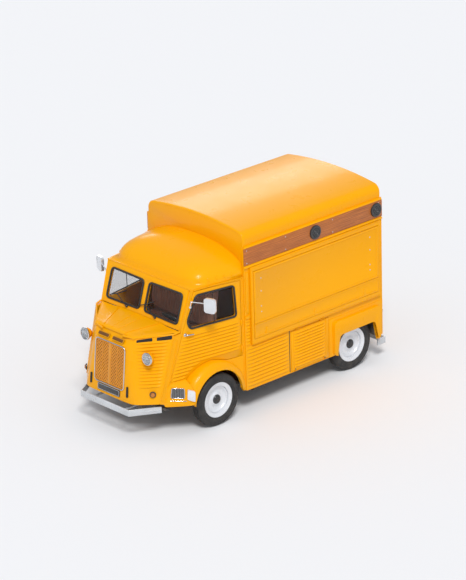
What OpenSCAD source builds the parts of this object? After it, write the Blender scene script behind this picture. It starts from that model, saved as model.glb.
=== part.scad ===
// Food truck: a short-nosed sheet-metal van with a raised box, a serving hatch on its left side,
// two rear-hinged cab doors and two rear doors. Millimetres. The front faces -Y, the left side +X,
// up is +Z, and the origin is on the ground in the middle of the length over the bumpers.
// Heights of body pieces are given for the standard tyre; a taller tyre lifts the whole body.

/* [Overall] */
// Distance between the front and the rear axle
wheelbase = 2500; // [2300:10:3100]
// Front bumper's face to the front axle
front_overhang = 1140; // [1120:5:1400]
// Rear axle to the rear bumper's face
rear_overhang = 620; // [600:5:900]
// Width over the load space walls
box_w = 1928; // [1600:4:2350]
// Height of the roof's crown on the standard tyre
roof_crown_z = 2598; // [2450:2:3200]

/* [Wheels] */
// Radius of the tyres
tyre_r = 360; // [300:1:440]
// Width of the tyres
tyre_w = 170; // [140:2:200]
// Outside radius of the steel rims
rim_r = 242; // [200:1:250]
// Radius of the axle pins in the wheel hubs
spindle_r = 20; // [14:1:30]
// Outer face of the front tyres beyond the load space walls
front_wheel_proud = 21; // [0:1:40]
// Outer face of the rear tyres inside the load space walls' outer faces
rear_wheel_inset = 30; // [20:1:80]

/* [Cab] */
// How far the cab's sides lean in towards the nose, in degrees
cab_toe = 9.5; // [5:0.5:12]
// Half the cab's width at its rear edge is this much less than the box's
cab_step = 14; // [8:1:40]
// Thickness of the cab's sides and doors
cab_t = 38; // [25:1:50]
// Thickness of the nose sheets
nose_t = 18; // [10:1:30]
// Room between the front tyres and their arches
arch_gap = 55; // [50:1:80]
// Spread of the front wings' flare beyond the arches
flare = 115; // [80:1:130]

/* [Load space] */
// Thickness of the load space walls
wall_t = 30; // [20:1:45]
// How far the raised roof stands in from the walls
roof_inset = 34; // [20:1:60]
// Height of the wooden fascia boards
fascia_h = 236; // [150:2:300]
// Thickness of the fascia boards
fascia_t = 12; // [8:1:25]
// How far the hatch's frame stands out of the wall
hatch_frame_t = 34; // [20:1:50]
// Width of the hatch frame's sides
hatch_border = 46; // [30:1:80]
// Height of the folding counter below the hatch
counter_h = 204; // [150:2:300]
// Length of the locker door in front of the rear fender
locker_l = 700; // [400:5:800]

/* [Fits] */
// Gap round doors, lids and hatches
door_gap = 6; // [5:0.5:12]
// Radial play of the wheels and knuckles on their pins
pin_play = 0.06; // [0.02:0.01:0.09]
// Gap between the steering pieces that turn past each other
turn_gap = 2; // [1:0.5:5]

/* [Hidden] */
$fn = 48;
eps = 1;

// Stations along the truck
total_l = front_overhang + wheelbase + rear_overhang;
front_y = -total_l / 2;
rear_y = total_l / 2;
front_axle_y = front_y + front_overhang;
rear_axle_y = front_axle_y + wheelbase;
arch_r = tyre_r + arch_gap;
box_front_y = front_axle_y + arch_r + 90;
box_rear_y = rear_y - 75;
nose_y = front_y + 83;

// Heights, on the standard tyre
standard_axle_z = 360;
axle_z = tyre_r;
body_lift = axle_z - standard_axle_z;
sill_z = 330;
rail_z = [300, 380];
load_floor_z = [382, 406];
cab_floor_z = [780, 800];
panel_top_z = 930;
roof_rise = 173;
shoulder_z = roof_crown_z - roof_rise;
fascia_top_z = shoulder_z - 96;
fascia_z = fascia_top_z - fascia_h;
hatch_z = [960, fascia_z - 42];

// Half widths
box_hw = box_w / 2;
cab_hw = box_hw - cab_step;
rail_x = [300, 360];
front_wheel_x = box_hw + front_wheel_proud - tyre_w / 2;
rear_wheel_x = box_hw - rear_wheel_inset - tyre_w / 2;
kingpin_x = front_wheel_x - 155;

// Places on the toed-in cab side, from a distance along the truck
function side_x(y) = cab_hw - (box_front_y - y) * tan(cab_toe);
function along(y) = (y - box_front_y) / cos(cab_toe);
function on_side(P) = [for (p = P) [along(p.x), p.y]];

function unit(v) = v / norm(v);
// Polygon with its corners rounded off, starting the round r before each corner
function softened(P, r, n = 5) = [for (i = [0:len(P) - 1], k = [0:n])
    let (b = P[i], a = P[(i + len(P) - 1) % len(P)], c = P[(i + 1) % len(P)], s = k / n,
         p = b + unit(a - b) * min(r, norm(a - b) * 0.45), q = b + unit(c - b) * min(r, norm(c - b) * 0.45))
    p * (1 - s) * (1 - s) + b * 2 * s * (1 - s) + q * s * s];
function shrunk_box(a, b, g) = [[a.x + g, a.y + g], [b.x - g, a.y + g], [b.x - g, b.y - g], [a.x + g, b.y - g]];

module body_height() translate([0, 0, body_lift]) children();
module both_sides() {
    children();
    mirror([1, 0, 0]) children();
}
module block(a, b) translate(a) cube(b - a);
// Drawing on the toed-in left cab side: x runs rearwards, y up, z outwards
module cab_side_plane() translate([cab_hw, box_front_y, 0]) rotate([90, 0, 90 - cab_toe]) children();
// Drawing on a plane across X: x runs along the truck, y up, z outwards to the left
module across_x(x) translate([x, 0, 0]) rotate([90, 0, 90]) children();
// Drawing on a plane across Y: x runs to the left, y up, z towards the front
module across_y(y) translate([0, y, 0]) rotate([90, 0, 0]) children();
// Flat sheet through corners P, with holes, its thickness t behind the outer side
module sheet(P, t, holes = []) {
    h = unit(P[1] - P[0]);
    n = unit(cross(h, P[2] - P[0]));
    u = cross(n, h);
    multmatrix([[h.x, u.x, n.x, P[0].x], [h.y, u.y, n.y, P[0].y], [h.z, u.z, n.z, P[0].z], [0, 0, 0, 1]])
        translate([0, 0, -t]) linear_extrude(t) difference() {
            polygon([for (q = P) [(q - P[0]) * h, (q - P[0]) * u]]);
            for (H = holes) polygon([for (q = H) [(q - P[0]) * h, (q - P[0]) * u]]);
        }
}

// ---- Underbody ----
module chassis_rails() color("dimgray") body_height() {
    both_sides() block([rail_x[0], nose_y + 250, rail_z[0]], [rail_x[1], box_rear_y - 60, rail_z[1]]);
    for (y = [nose_y + 250, box_front_y + 60, rear_axle_y - 700, box_rear_y - 130])
        block([-rail_x[0] - eps, y, rail_z[0]], [rail_x[0] + eps, y + 60, rail_z[1]]);
}

wheel_box_y = tyre_r + 45;
wheel_box_x = rear_wheel_x - tyre_w / 2 - 35;
module floor_pan() color("gray") body_height() {
    wall_x = box_hw - wall_t;
    t = 20;
    top = standard_axle_z + tyre_r + 45;
    difference() {
        block([-wall_x, box_front_y, load_floor_z[0]], [wall_x, box_rear_y - 45, load_floor_z[1]]);
        both_sides() block([wheel_box_x, rear_axle_y - wheel_box_y, load_floor_z[0] - eps],
            [wall_x + eps, rear_axle_y + wheel_box_y, load_floor_z[1] + eps]);
    }
    both_sides() difference() {
        block([wheel_box_x - t, rear_axle_y - wheel_box_y - t, load_floor_z[0]],
            [wall_x, rear_axle_y + wheel_box_y + t, top + t]);
        block([wheel_box_x, rear_axle_y - wheel_box_y, load_floor_z[0] - eps],
            [wall_x + eps, rear_axle_y + wheel_box_y, top]);
    }
}

engine_y = [nose_y + 330, front_axle_y - 230];
module engine_block() color("darkslategray") body_height() {
    block([-250, engine_y[0], 345], [250, engine_y[1], 760]);
    block([-rail_x[0], engine_y[0] + 200, 345], [rail_x[0], engine_y[0] + 260, 375]);
}

arm_z = [-98, -72];
module front_suspension() color("dimgray") {
    block([-rail_x[0], front_axle_y - 50, axle_z + arm_z[0]], [rail_x[0], front_axle_y + 50, axle_z - arm_z[0]]);
    both_sides() {
        for (s = [-1, 1]) {
            z = s < 0 ? axle_z + arm_z[0] : axle_z - arm_z[1];
            block([rail_x[0] - 2 * eps, front_axle_y - 28, z], [kingpin_x, front_axle_y + 28, z + arm_z[1] - arm_z[0]]);
            translate([kingpin_x, front_axle_y, z]) cylinder(r = 28, h = arm_z[1] - arm_z[0]);
        }
        translate([kingpin_x, front_axle_y, axle_z + arm_z[1] - eps]) cylinder(r = 12, h = -2 * arm_z[1] + 2 * eps);
    }
}

module knuckle() {
    half_h = -arm_z[1] - turn_gap;
    difference() {
        union() {
            translate([kingpin_x, front_axle_y, axle_z - half_h]) cylinder(r = 30, h = 2 * half_h);
            translate([kingpin_x + 20, front_axle_y, axle_z]) rotate([0, 90, 0]) cylinder(r = 34, h = 45);
            translate([kingpin_x + 60, front_axle_y, axle_z]) rotate([0, 90, 0])
                cylinder(r = spindle_r, h = front_wheel_x + 34 - kingpin_x - 60);
        }
        translate([kingpin_x, front_axle_y, axle_z - half_h - eps]) cylinder(r = 12 + pin_play, h = 2 * half_h + 2 * eps);
    }
}
module knuckle_left() color("dimgray") knuckle();
module knuckle_right() color("dimgray") mirror([1, 0, 0]) knuckle();

module rear_suspension() color("dimgray") both_sides() {
    arm_x = [rail_x[1], rear_wheel_x - tyre_w / 2 - 24];
    pivot_y = rear_axle_y - 430;
    block([arm_x[1] - 60, pivot_y, axle_z - 35], [arm_x[1], rear_axle_y + 40, axle_z + 15]);
    block([arm_x[0], pivot_y - 40, axle_z - 35], [arm_x[1], pivot_y + 40, axle_z + 15]);
    translate([arm_x[1] - eps, rear_axle_y, axle_z]) rotate([0, 90, 0])
        cylinder(r = spindle_r, h = rear_wheel_x + 34 - arm_x[1] + eps);
}

module exhaust() color("black") body_height() {
    x = box_hw - 170;
    y = box_front_y + 240;
    translate([x, y, 270]) rotate([-90, 0, 0]) cylinder(r = 56, h = 500);
    translate([x, y - 120, 270]) rotate([-90, 0, 0]) cylinder(r = 22, h = 1000);
    for (dy = [60, 440]) block([x - 12, y + dy, 315], [x + 12, y + dy + 20, load_floor_z[0]]);
}

// ---- Wheels, drawn about their own middle with the axis along X, outer side to +X ----
module rim_profile() {
    barrel_r = rim_r - 34;
    polygon([[spindle_r + pin_play, -26], [56, -26], [56, 8], [150, 2], [barrel_r - 8, 22], [barrel_r - 8, -62], [rim_r, -66],
        [rim_r, -60], [barrel_r, -56], [barrel_r, 56], [rim_r, 60], [rim_r, 66], [barrel_r - 8, 62],
        [barrel_r - 8, 30], [150, 10], [62, 17], [62, 24], [spindle_r + pin_play, 24]]);
}
module tyre_profile() {
    bead_r = rim_r - 33;
    polygon(concat([[bead_r, -55], [rim_r + 2, -58]],
        [for (a = [0:15:75]) [(rim_r + tyre_r) / 2 - cos(a) * (tyre_r - rim_r) * 0.42, -58 - (tyre_w / 2 - 58) * sin(a)]],
        [for (a = [0:15:90]) [tyre_r - 28 + 20 * sin(a), -tyre_w / 2 + 26 - 22 * cos(a)]],
        [[tyre_r, -tyre_w / 2 + 34], [tyre_r, tyre_w / 2 - 34]],
        [for (a = [90:-15:0]) [tyre_r - 28 + 20 * sin(a), tyre_w / 2 - 26 + 22 * cos(a)]],
        [for (a = [75:-15:0]) [(rim_r + tyre_r) / 2 - cos(a) * (tyre_r - rim_r) * 0.42, 58 + (tyre_w / 2 - 58) * sin(a)]],
        [[rim_r + 2, 58], [bead_r, 55]]));
}
module wheel_place(left, front)
    mirror([left ? 0 : 1, 0, 0])
        translate([front ? front_wheel_x : rear_wheel_x, front ? front_axle_y : rear_axle_y, axle_z])
            rotate([0, 90, 0]) children();
module rim(left, front) color("whitesmoke") wheel_place(left, front) rotate_extrude($fn = 96) rim_profile();
module tyre(left, front) color("black") wheel_place(left, front) rotate_extrude($fn = 96) tyre_profile();
module rim_front_left() rim(true, true);
module rim_front_right() rim(false, true);
module rim_rear_left() rim(true, false);
module rim_rear_right() rim(false, false);
module tyre_front_left() tyre(true, true);
module tyre_front_right() tyre(false, true);
module tyre_rear_left() tyre(true, false);
module tyre_rear_right() tyre(false, false);

// ---- Bumpers ----
bumper_flat_x = 477;
bumper_end = [box_hw - 265, front_y + 383];
module front_bumper() color("lightgray") body_height() {
    t = 16;
    translate([0, 0, 336]) linear_extrude(91) polygon([[-bumper_flat_x, front_y], [bumper_flat_x, front_y],
        bumper_end, [bumper_end.x - t, bumper_end.y], [bumper_flat_x - t / 2, front_y + t],
        [-bumper_flat_x + t / 2, front_y + t], [-bumper_end.x + t, bumper_end.y], [-bumper_end.x, bumper_end.y]]);
    both_sides() block([rail_x[0], front_y + t - eps, 345], [rail_x[0] + 14, nose_y + 250, 378]);
}
module rear_bumper() color("lightgray") body_height() {
    t = 16;
    x = box_hw - 22;
    block([-x, rear_y - t, 205], [x, rear_y, 298]);
    both_sides() {
        block([x - t, rear_y - 150, 205], [x, rear_y - t + eps, 298]);
        block([rail_x[0], box_rear_y - 60, 255], [rail_x[1], rear_y - t + eps, rail_z[0] + 40]);
    }
}

// ---- Nose ----
nose_foot_z = 470;
face_top_z = 1225;
face_lean = 0.0985;
function face_y(z) = nose_y + (z - nose_foot_z) * face_lean;
face_foot = [450, face_y(nose_foot_z), nose_foot_z];
face_top = [318, face_y(face_top_z), face_top_z];
crease_foot = [535, nose_y + 77, nose_foot_z];
bonnet_front = [380, nose_y + 154, 1335];
pillar_foot = [side_x(nose_y + 246), nose_y + 246, 485];
pillar_top = [side_x(nose_y + 498), nose_y + 498, 1378];
grille_z = [615, 1204];
grille_x = 294;

// Shell of the nose through its corners on the left side: face foot, crease foot, pillar foot, pillar top,
// the bonnet's front corner and the top of the face
nose_side = [[0, 5, 4], [0, 4, 1], [1, 4, 3], [1, 3, 2]];
module nose_body(P) polyhedron(concat(P, [for (p = P) [-p.x, p.y, p.z]]), concat(
    nose_side, [for (f = nose_side) [f[2] + 6, f[1] + 6, f[0] + 6]],
    [[6, 11, 5, 0], [11, 10, 4, 5], [10, 9, 3, 4], [2, 3, 9, 8], [0, 1, 7, 6], [1, 2, 8, 7]]));
module nose_panel() color("orange") body_height() difference() {
    t = nose_t;
    nose_body([face_foot, crease_foot, pillar_foot, pillar_top, bonnet_front, face_top]);
    nose_body([face_foot + [-8, t, -40], crease_foot + [-t, 8, -40], pillar_foot + [-t, 60, -55], pillar_top + [-t, 60, 20],
        bonnet_front + [-t, 40, 20], face_top + [-8, t, -12]]);
    block([14 - grille_x, nose_y - 50, grille_z[0] + 14], [grille_x - 14, nose_y + 140, grille_z[1] - 14]);
}

module grille() color("goldenrod") body_height() {
    t = 14;
    difference() {
        sheet([for (c = [[-1, 0], [1, 0], [1, 1], [-1, 1]]) [c.x * grille_x, face_y(grille_z[c.y]) - 10.15, grille_z[c.y]]], t - 4);
        both_sides() across_y(0) linear_extrude(2 * total_l, center = true)
            polygon([[22, grille_z[0] + 26], [grille_x - 26, grille_z[0] + 26], [grille_x - 26, grille_z[1] - 26], [22, grille_z[1] - 26]]);
    }
    sheet([for (c = [[-1, 0], [1, 0], [1, 1], [-1, 1]]) [c.x * (grille_x - 16), face_y(grille_z[c.y]) - 3, grille_z[c.y] + (c.y > 0 ? -16 : 16)]], 8);
}

bonnet_hinge = [0, nose_y + 586, 1418];
bonnet_t = 20;
module bonnet() color("orange") body_height() {
    rear = [side_x(bonnet_hinge.y) - 10, bonnet_hinge.y, bonnet_hinge.z];
    front = [bonnet_front.x + 4, bonnet_front.y - 14, bonnet_front.z + 26];
    P = [[-front.x, front.y, front.z], front, rear, [-rear.x, rear.y, rear.z]];
    sheet(P, bonnet_t);
    hull() for (s = [-1, 1]) {
        translate([s * (front.x - 40) - 5, front.y + 6, front.z]) cube([10, 8, 6]);
        translate([s * 430 - 5, rear.y - 60, rear.z]) cube([10, 8, 8]);
    }
}

// How far along the truck the nose's left side sheet stands, at a place across the truck and a height
function nose_side_y(x, z) = let (n = cross(bonnet_front - crease_foot, pillar_top - crease_foot))
    crease_foot.y - (n.x * (x - crease_foot.x) + n.z * (z - crease_foot.z)) / n.y;
lamp_bracket = [pillar_foot.x - 130, 1085];
lamp_reach = 121;
module headlamps() color("orange") body_height() both_sides() {
    y = nose_side_y(lamp_bracket.x, lamp_bracket.y) - lamp_reach;
    translate([lamp_bracket.x + 15, y, lamp_bracket.y + 33]) rotate([90, 0, 0]) rotate_extrude()
        polygon([[0, -95], [22, -92], [52, -72], [74, -40], [84, 0], [86, 14], [76, 24], [0, 30]]);
    translate([lamp_bracket.x, y + 20, lamp_bracket.y]) cube([26, lamp_reach - 19, 34]);
}

// ---- Windscreen frame: a plane that leans back, drawn with x across and y up the slope ----
screen_lean = 17.35;
screen_foot = [nose_y + 597, 1420];
screen_t = 34;
module screen_plane() translate([0, screen_foot.x, screen_foot.y]) rotate([90 - screen_lean, 0, 0]) children();
function up_screen(z) = (z - screen_foot.y) / cos(screen_lean);
screen_top = up_screen(1941);
pane = [[58, up_screen(1500)], [cab_hw - 258, up_screen(1493)], [cab_hw - 262, up_screen(1862)], [60, up_screen(1852)]];
pane_glass_t = 6;
module windscreen_frame() color("orange") body_height() {
    foot_x = side_x(screen_foot.x) - 12;
    top_x = side_x(screen_foot.x + 150) - 14;
    difference() {
        screen_plane() translate([0, 0, -screen_t]) linear_extrude(screen_t) difference() {
            polygon([[-foot_x, 0], [foot_x, 0], [top_x, screen_top], [-top_x, screen_top]]);
            for (m = [0, 1]) mirror([m, 0]) polygon(softened(pane, 45));
        }
        // the cab's sides and doors stand outside this plane
        both_sides() cab_side_plane() translate([-total_l, 0, -cab_t - 0.05]) cube([2 * total_l, 3000, box_w]);
    }
}
module windscreen_glass() color("lightblue", 0.4) body_height() screen_plane()
    translate([0, 0, -screen_t / 2]) linear_extrude(pane_glass_t)
        for (m = [0, 1]) mirror([m, 0]) polygon(softened(pane, 45));

// ---- Cab sides and doors, drawn on the toed-in side plane as [distance along the truck, height] ----
door_rear_y = box_front_y - 42;
gutter_z = 1941;
wing_r = arch_r + flare;
door_low = [front_axle_y - wing_r - 112, 758];
// Where the door's bottom edge meets the arc over the wing
door_foot = [front_axle_y + (wing_r - 50) / 2, standard_axle_z + wing_r - 50];
function wing_point(a, r) = [front_axle_y - r * cos(a), standard_axle_z + r * sin(a)];
door_outline = concat(
    [[door_rear_y, 1908], [door_rear_y, door_foot.y], door_foot],
    [for (a = [90:-8:34]) wing_point(a, wing_r + 14)],
    [[front_axle_y - wing_r + 10, 640], [front_axle_y - wing_r - 80, 680], door_low, [nose_y + 630, 1420], [nose_y + 803, 1931]]);
door_window = [[door_rear_y - 82, 1426], [door_rear_y - 112, 1852], [nose_y + 843, 1856], [nose_y + 702, 1527], [nose_y + 744, 1426]];
module side_outline() difference() {
    polygon(on_side([[box_front_y, sill_z + 6], [box_front_y, gutter_z - 0.05], [nose_y + 768, gutter_z - 0.05],
        [screen_foot.x, screen_foot.y], [nose_y + 594, 1391], [pillar_top.y, pillar_top.z], [pillar_foot.y, pillar_foot.z], [nose_y + 360, 445],
        [front_axle_y - 380, 410], [front_axle_y + 380, 340]]));
    polygon(on_side(door_outline));
}
module arch_cut(r) translate([0, front_axle_y, standard_axle_z]) rotate([0, 90, 0]) cylinder(r = r, h = box_w * 2, center = true);

module cab_sides() color("orange") body_height() both_sides() difference() {
    cab_side_plane() translate([0, 0, -cab_t]) linear_extrude(cab_t) side_outline();
    arch_cut(arch_r + 50);
    block([0, box_front_y, 0], [2 * box_w, box_front_y + 100, 2 * total_l]);
}
module door_leaf() {
    shut = concat(
        [[door_rear_y - door_gap, 1908 - door_gap], [door_rear_y - door_gap, door_foot.y + door_gap], door_foot + [0, door_gap]],
        [for (a = [90:-8:34]) wing_point(a, wing_r + 14 + door_gap)],
        [[front_axle_y - wing_r + 10, 640 + door_gap], [front_axle_y - wing_r - 80 + door_gap, 680 + door_gap], door_low + [door_gap + 1, 2],
         [nose_y + 630 + door_gap + 1, 1420], [nose_y + 803 + door_gap, 1931 - door_gap - 2]]);
    cab_side_plane() translate([0, 0, -cab_t]) linear_extrude(cab_t) difference() {
        polygon(on_side(shut));
        polygon(softened(on_side(door_window), 40));
    }
}
module door_pane() cab_side_plane() translate([0, 0, -cab_t / 2 - 3]) linear_extrude(6)
    polygon(softened(on_side(door_window), 40));
module cab_door_left() color("orange") body_height() door_leaf();
module cab_door_right() color("orange") body_height() mirror([1, 0, 0]) door_leaf();
module door_glass_left() color("lightblue", 0.4) body_height() door_pane();
module door_glass_right() color("lightblue", 0.4) body_height() mirror([1, 0, 0]) door_pane();

mirror_foot_y = nose_y + 745;
module rod(a, b, r) {
    d = b - a;
    translate(a) rotate([0, acos(d.z / norm(d)), atan2(d.y, d.x)]) cylinder(r = r, h = norm(d));
}
module door_mirror() {
    foot = [side_x(mirror_foot_y), mirror_foot_y, 1722];
    elbow = foot + [32, -6, 84];
    tip = foot + [232, 100, 82];
    cab_side_plane() translate([along(mirror_foot_y), foot.z, 0]) cylinder(r = 16, h = 12);
    rod(foot + [9, 0, 2], elbow, 7);
    translate(elbow) sphere(r = 9);
    rod(elbow, tip, 7);
    translate(tip + [38, 10, -20]) rotate([90, 0, 18]) linear_extrude(42, center = true)
        polygon(softened([[-82, -100], [82, -100], [82, 100], [-82, 100]], 42));
}
module mirror_left() color("silver") body_height() door_mirror();
module mirror_right() color("silver") body_height() mirror([1, 0, 0]) door_mirror();

// Front wings: a flare turned about the wheel's axis, outside the cab's side
module front_wings() color("orange") body_height() both_sides() difference() {
    t = 16;
    out_x = box_hw + front_wheel_proud + 2;
    translate([0, front_axle_y, standard_axle_z]) rotate([0, 90, 0]) rotate_extrude($fn = 96) polygon(concat(
        [for (a = [0:10:90]) [arch_r + flare * cos(a), out_x - 130 + 130 * sin(a)]],
        [[arch_r, out_x - 40]],
        [for (a = [80:-10:0]) [arch_r + (flare - t) * cos(a), out_x - 130 + (130 - t) * sin(a)]],
        [[arch_r + flare - t, out_x - 330], [arch_r + flare, out_x - 330]]));
    cab_side_plane() translate([-2 * total_l, -total_l, -box_w * 2]) cube([4 * total_l, 2 * total_l, box_w * 2]);
    block([0, front_axle_y - 2 * arch_r, -wing_r], [2 * box_w, front_axle_y + 2 * arch_r, 392]);
    block([0, box_front_y, 0], [2 * box_w, box_front_y + 2 * arch_r, 2000]);
    block([0, front_axle_y - 2 * arch_r, 0], [2 * box_w, front_axle_y - arch_r + 2, 690]);
}

// Cab roof: a dome over the cab, round in plan at the front and highest at the raised box. Its rings run
// from the foot to the top of the dome, its ribs fan out from the middle of the box's front wall.
dome_front_y = nose_y + 805;
dome_edge_z = 1955;
dome_rise = 345;
dome_plan_x = 5.1;
dome_plan_y = 7;
dome_side_round = 2.25;
dome_front_round = 2.2;
dome_round = 2.1;
dome_inset = 10;
dome_t = 14;
dome_rings = 12;
dome_ribs = 36;
function power(v, p) = sign(v) * pow(abs(v), p);
function dome_point(i, k, t) = let (rise = 90 * i / dome_rings, fan = -90 + 180 * k / dome_ribs,
    u = power(cos(rise), 2 / dome_side_round) * power(sin(fan), 2 / dome_plan_x),
    v = power(cos(rise), 2 / dome_front_round) * power(cos(fan), 2 / dome_plan_y),
    y = roof_front_y - (roof_front_y - dome_front_y - t) * v)
    [(side_x(y) - dome_inset - t) * u, y, dome_edge_z + (dome_rise - t) * power(sin(rise), 2 / dome_round)];
function dome_index(i, k) = i * (dome_ribs + 1) + k;
function two_triangles(a, b, c, d) = [[a, b, c], [a, c, d]];
module cab_roof() color("orange") body_height() difference() {
    dome();
    both_sides() block([box_hw - wall_t - 0.1, box_front_y - 0.1, 1900], [box_hw + eps, roof_front_y + 50, 2500]);
}
module dome() {
    top = dome_rings * (dome_ribs + 1);
    outer = concat([for (i = [0:dome_rings - 1], k = [0:dome_ribs]) dome_point(i, k, 0)], [dome_point(dome_rings, 0, 0)]);
    inner = concat([for (i = [0:dome_rings - 1], k = [0:dome_ribs]) dome_point(i, k, dome_t)], [dome_point(dome_rings, 0, dome_t)]);
    m = len(outer);
    last = dome_rings - 1;
    polyhedron(concat(outer, inner), concat(
        [for (i = [0:last - 1]) for (k = [0:dome_ribs - 1]) each
            two_triangles(dome_index(i, k), dome_index(i + 1, k), dome_index(i + 1, k + 1), dome_index(i, k + 1))],
        [for (k = [0:dome_ribs - 1]) [dome_index(last, k), top, dome_index(last, k + 1)]],
        [for (i = [0:last - 1]) for (k = [0:dome_ribs - 1]) each
            two_triangles(m + dome_index(i, k), m + dome_index(i, k + 1), m + dome_index(i + 1, k + 1), m + dome_index(i + 1, k))],
        [for (k = [0:dome_ribs - 1]) [m + dome_index(last, k), m + dome_index(last, k + 1), m + top]],
        [for (k = [0:dome_ribs - 1]) each
            two_triangles(dome_index(0, k), dome_index(0, k + 1), m + dome_index(0, k + 1), m + dome_index(0, k))],
        [for (k = [0, dome_ribs], i = [0:last]) let (n = i < last ? dome_index(i + 1, k) : top, a = dome_index(i, k))
            each (k == 0 ? two_triangles(a, m + a, m + n, n) : two_triangles(a, n, m + n, m + a))]));
    // flat gutter round the dome's foot, on the cab's sides and the windscreen frame
    edge_y = nose_y + 760;
    translate([0, 0, gutter_z]) linear_extrude(dome_edge_z - gutter_z) difference() {
        polygon([[-side_x(edge_y) + 2, edge_y], [side_x(edge_y) - 2, edge_y], [side_x(box_front_y), box_front_y], [-side_x(box_front_y), box_front_y]]);
        polygon([for (k = [0:dome_ribs]) let (p = dome_point(0, k, dome_t)) [p.x, p.y - (k == 0 || k == dome_ribs ? -2 : 0)]]);
    }
}

// ---- Inside the cab ----
seat_y = [box_front_y - 560, box_front_y - 150];
module cab_floor() color("gray") body_height() {
    front = nose_y + 388;
    x = side_x(front) - cab_t - 12;
    x_rear = side_x(box_front_y) - cab_t - 12;
    translate([0, 0, cab_floor_z[0]]) linear_extrude(cab_floor_z[1] - cab_floor_z[0])
        polygon([[-x, front], [x, front], [x_rear, box_front_y], [-x_rear, box_front_y]]);
    block([-600, seat_y[0] + 30, cab_floor_z[1] - eps], [600, seat_y[1], 1010]);
}
module seat_cushion() color("saddlebrown") body_height()
    across_x(-610) linear_extrude(1220) polygon(softened(shrunk_box([seat_y[0], 1012], [seat_y[1], 1160], 0), 40));
module seat_back() color("saddlebrown") body_height()
    across_x(-610) linear_extrude(1220) polygon(softened([[seat_y[1] - 130, 1164], [seat_y[1] - 10, 1164],
        [seat_y[1] + 75, 1760], [seat_y[1] - 20, 1760]], 40));

wheel_hub = [400, nose_y + 870, 1385];
column_tilt = 38;
module dashboard() color("dimgray") body_height() {
    x = side_x(nose_y + 610) - cab_t - 16;
    block([-x, nose_y + 620, 1240], [x, nose_y + 720, 1370]);
    translate(wheel_hub) rotate([180 - column_tilt, 0, 0]) translate([0, 0, 26 + turn_gap]) cylinder(r = 22, h = (wheel_hub.z - cab_floor_z[1]) / cos(column_tilt) - 47);
    block([wheel_hub.x - 15, wheel_hub.y - 200, 1100], [wheel_hub.x + 15, wheel_hub.y - 170, 1241]);
}
module steering_wheel() color("black") body_height() translate(wheel_hub) rotate([-column_tilt, 0, 0]) {
    rotate_extrude($fn = 64) translate([205, 0]) circle(r = 13, $fn = 24);
    translate([0, 0, -26]) cylinder(r = 30, h = 36);
    for (a = [0, 120, 240]) rotate([0, 0, a + 90]) translate([25, 0, -4]) rotate([0, 90, 0]) cylinder(r = 7, h = 172);
}

// ---- Load space ----
fender_y = [rear_axle_y - 470, box_rear_y - 6];
function rear_arch(grow) = [[rear_axle_y - tyre_r + 3 - grow, sill_z - 20], [rear_axle_y - tyre_r + 54 - grow, 618 + grow],
    [rear_axle_y + tyre_r - 2 + grow, 626 + grow], [rear_axle_y + tyre_r + 72 + grow, sill_z - 20]];
locker_y = [fender_y[0] - 12 - locker_l, fender_y[0] - 12];
locker_z = [sill_z + 12, panel_top_z - 4];
hatch_y = [box_front_y + 95, box_rear_y - 62];
// The right wall and its board start this far back under the raised roof
wall_step_y = box_front_y + 50;
module wall_plate(cuts) across_x(box_hw - wall_t) linear_extrude(wall_t) difference() {
    polygon([[box_front_y, sill_z], [rear_axle_y + tyre_r + 72, sill_z], [box_rear_y - rear_frame_t, sill_z + 46],
        [box_rear_y - rear_frame_t, fascia_top_z], [box_front_y, fascia_top_z]]);
    polygon(softened(rear_arch(12), 40));
    if (!cuts) polygon(shrunk_box([box_front_y - eps, fascia_z - 30], [wall_step_y, fascia_top_z + eps], 0));
    if (cuts) {
        polygon(shrunk_box([hatch_y[0], hatch_z[0]], [hatch_y[1], hatch_z[1]], hatch_border + 46));
        polygon(shrunk_box([locker_y[0], locker_z[0]], [locker_y[1], locker_z[1]], 0));
    }
}
module side_wall_left() color("orange") body_height() wall_plate(true);
module side_wall_right() color("orange") body_height() mirror([1, 0, 0]) wall_plate(false);

roof_t = 16;
roof_hw = box_hw - roof_inset;
roof_front_y = box_front_y + 32;
roof_corner_r = 112;
roof_arc_r = 5400;
function roof_line(t) = let (dx = roof_hw - roof_corner_r, rc = roof_arc_r - roof_corner_r,
    down = sqrt(rc * rc - dx * dx), corner_z = roof_crown_z - roof_arc_r + down, top = atan2(down, dx),
    half = concat([[roof_hw - t, fascia_top_z]],
        [for (i = [0:8]) [dx + (roof_corner_r - t) * cos(top * i / 8), corner_z + (roof_corner_r - t) * sin(top * i / 8)]],
        [for (i = [1:5]) let (a = top + (90 - top) * i / 5) [(roof_arc_r - t) * cos(a), roof_crown_z - roof_arc_r + (roof_arc_r - t) * sin(a)]]))
    concat(half, [for (i = [len(half) - 2:-1:0]) [-half[i].x, half[i].y]]);
module box_roof() color("orange") body_height()
    translate([0, box_rear_y, 0]) across_y(0) linear_extrude(box_rear_y - roof_front_y) difference() {
        polygon(roof_line(0));
        polygon(concat([[roof_hw - roof_t, fascia_top_z - eps]], roof_line(roof_t), [[-roof_hw + roof_t, fascia_top_z - eps]]));
    }
module roof_front() color("orange") body_height()
    translate([0, roof_front_y + 24, 0]) across_y(0) linear_extrude(24) difference() {
        polygon(concat([[box_hw - wall_t - eps, 1957], [box_hw - wall_t - eps, fascia_top_z - eps]], roof_line(roof_t),
            [[-box_hw + wall_t + eps, fascia_top_z - eps], [-box_hw + wall_t + eps, 1957]]));
        polygon([[-800, 1900], [800, 1900], [800, 2140], [-800, 2140]]);
    }
rear_door_z = [424, fascia_top_z + 20];
rear_door_x = box_hw - 76;
rear_frame_t = 40;
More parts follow.
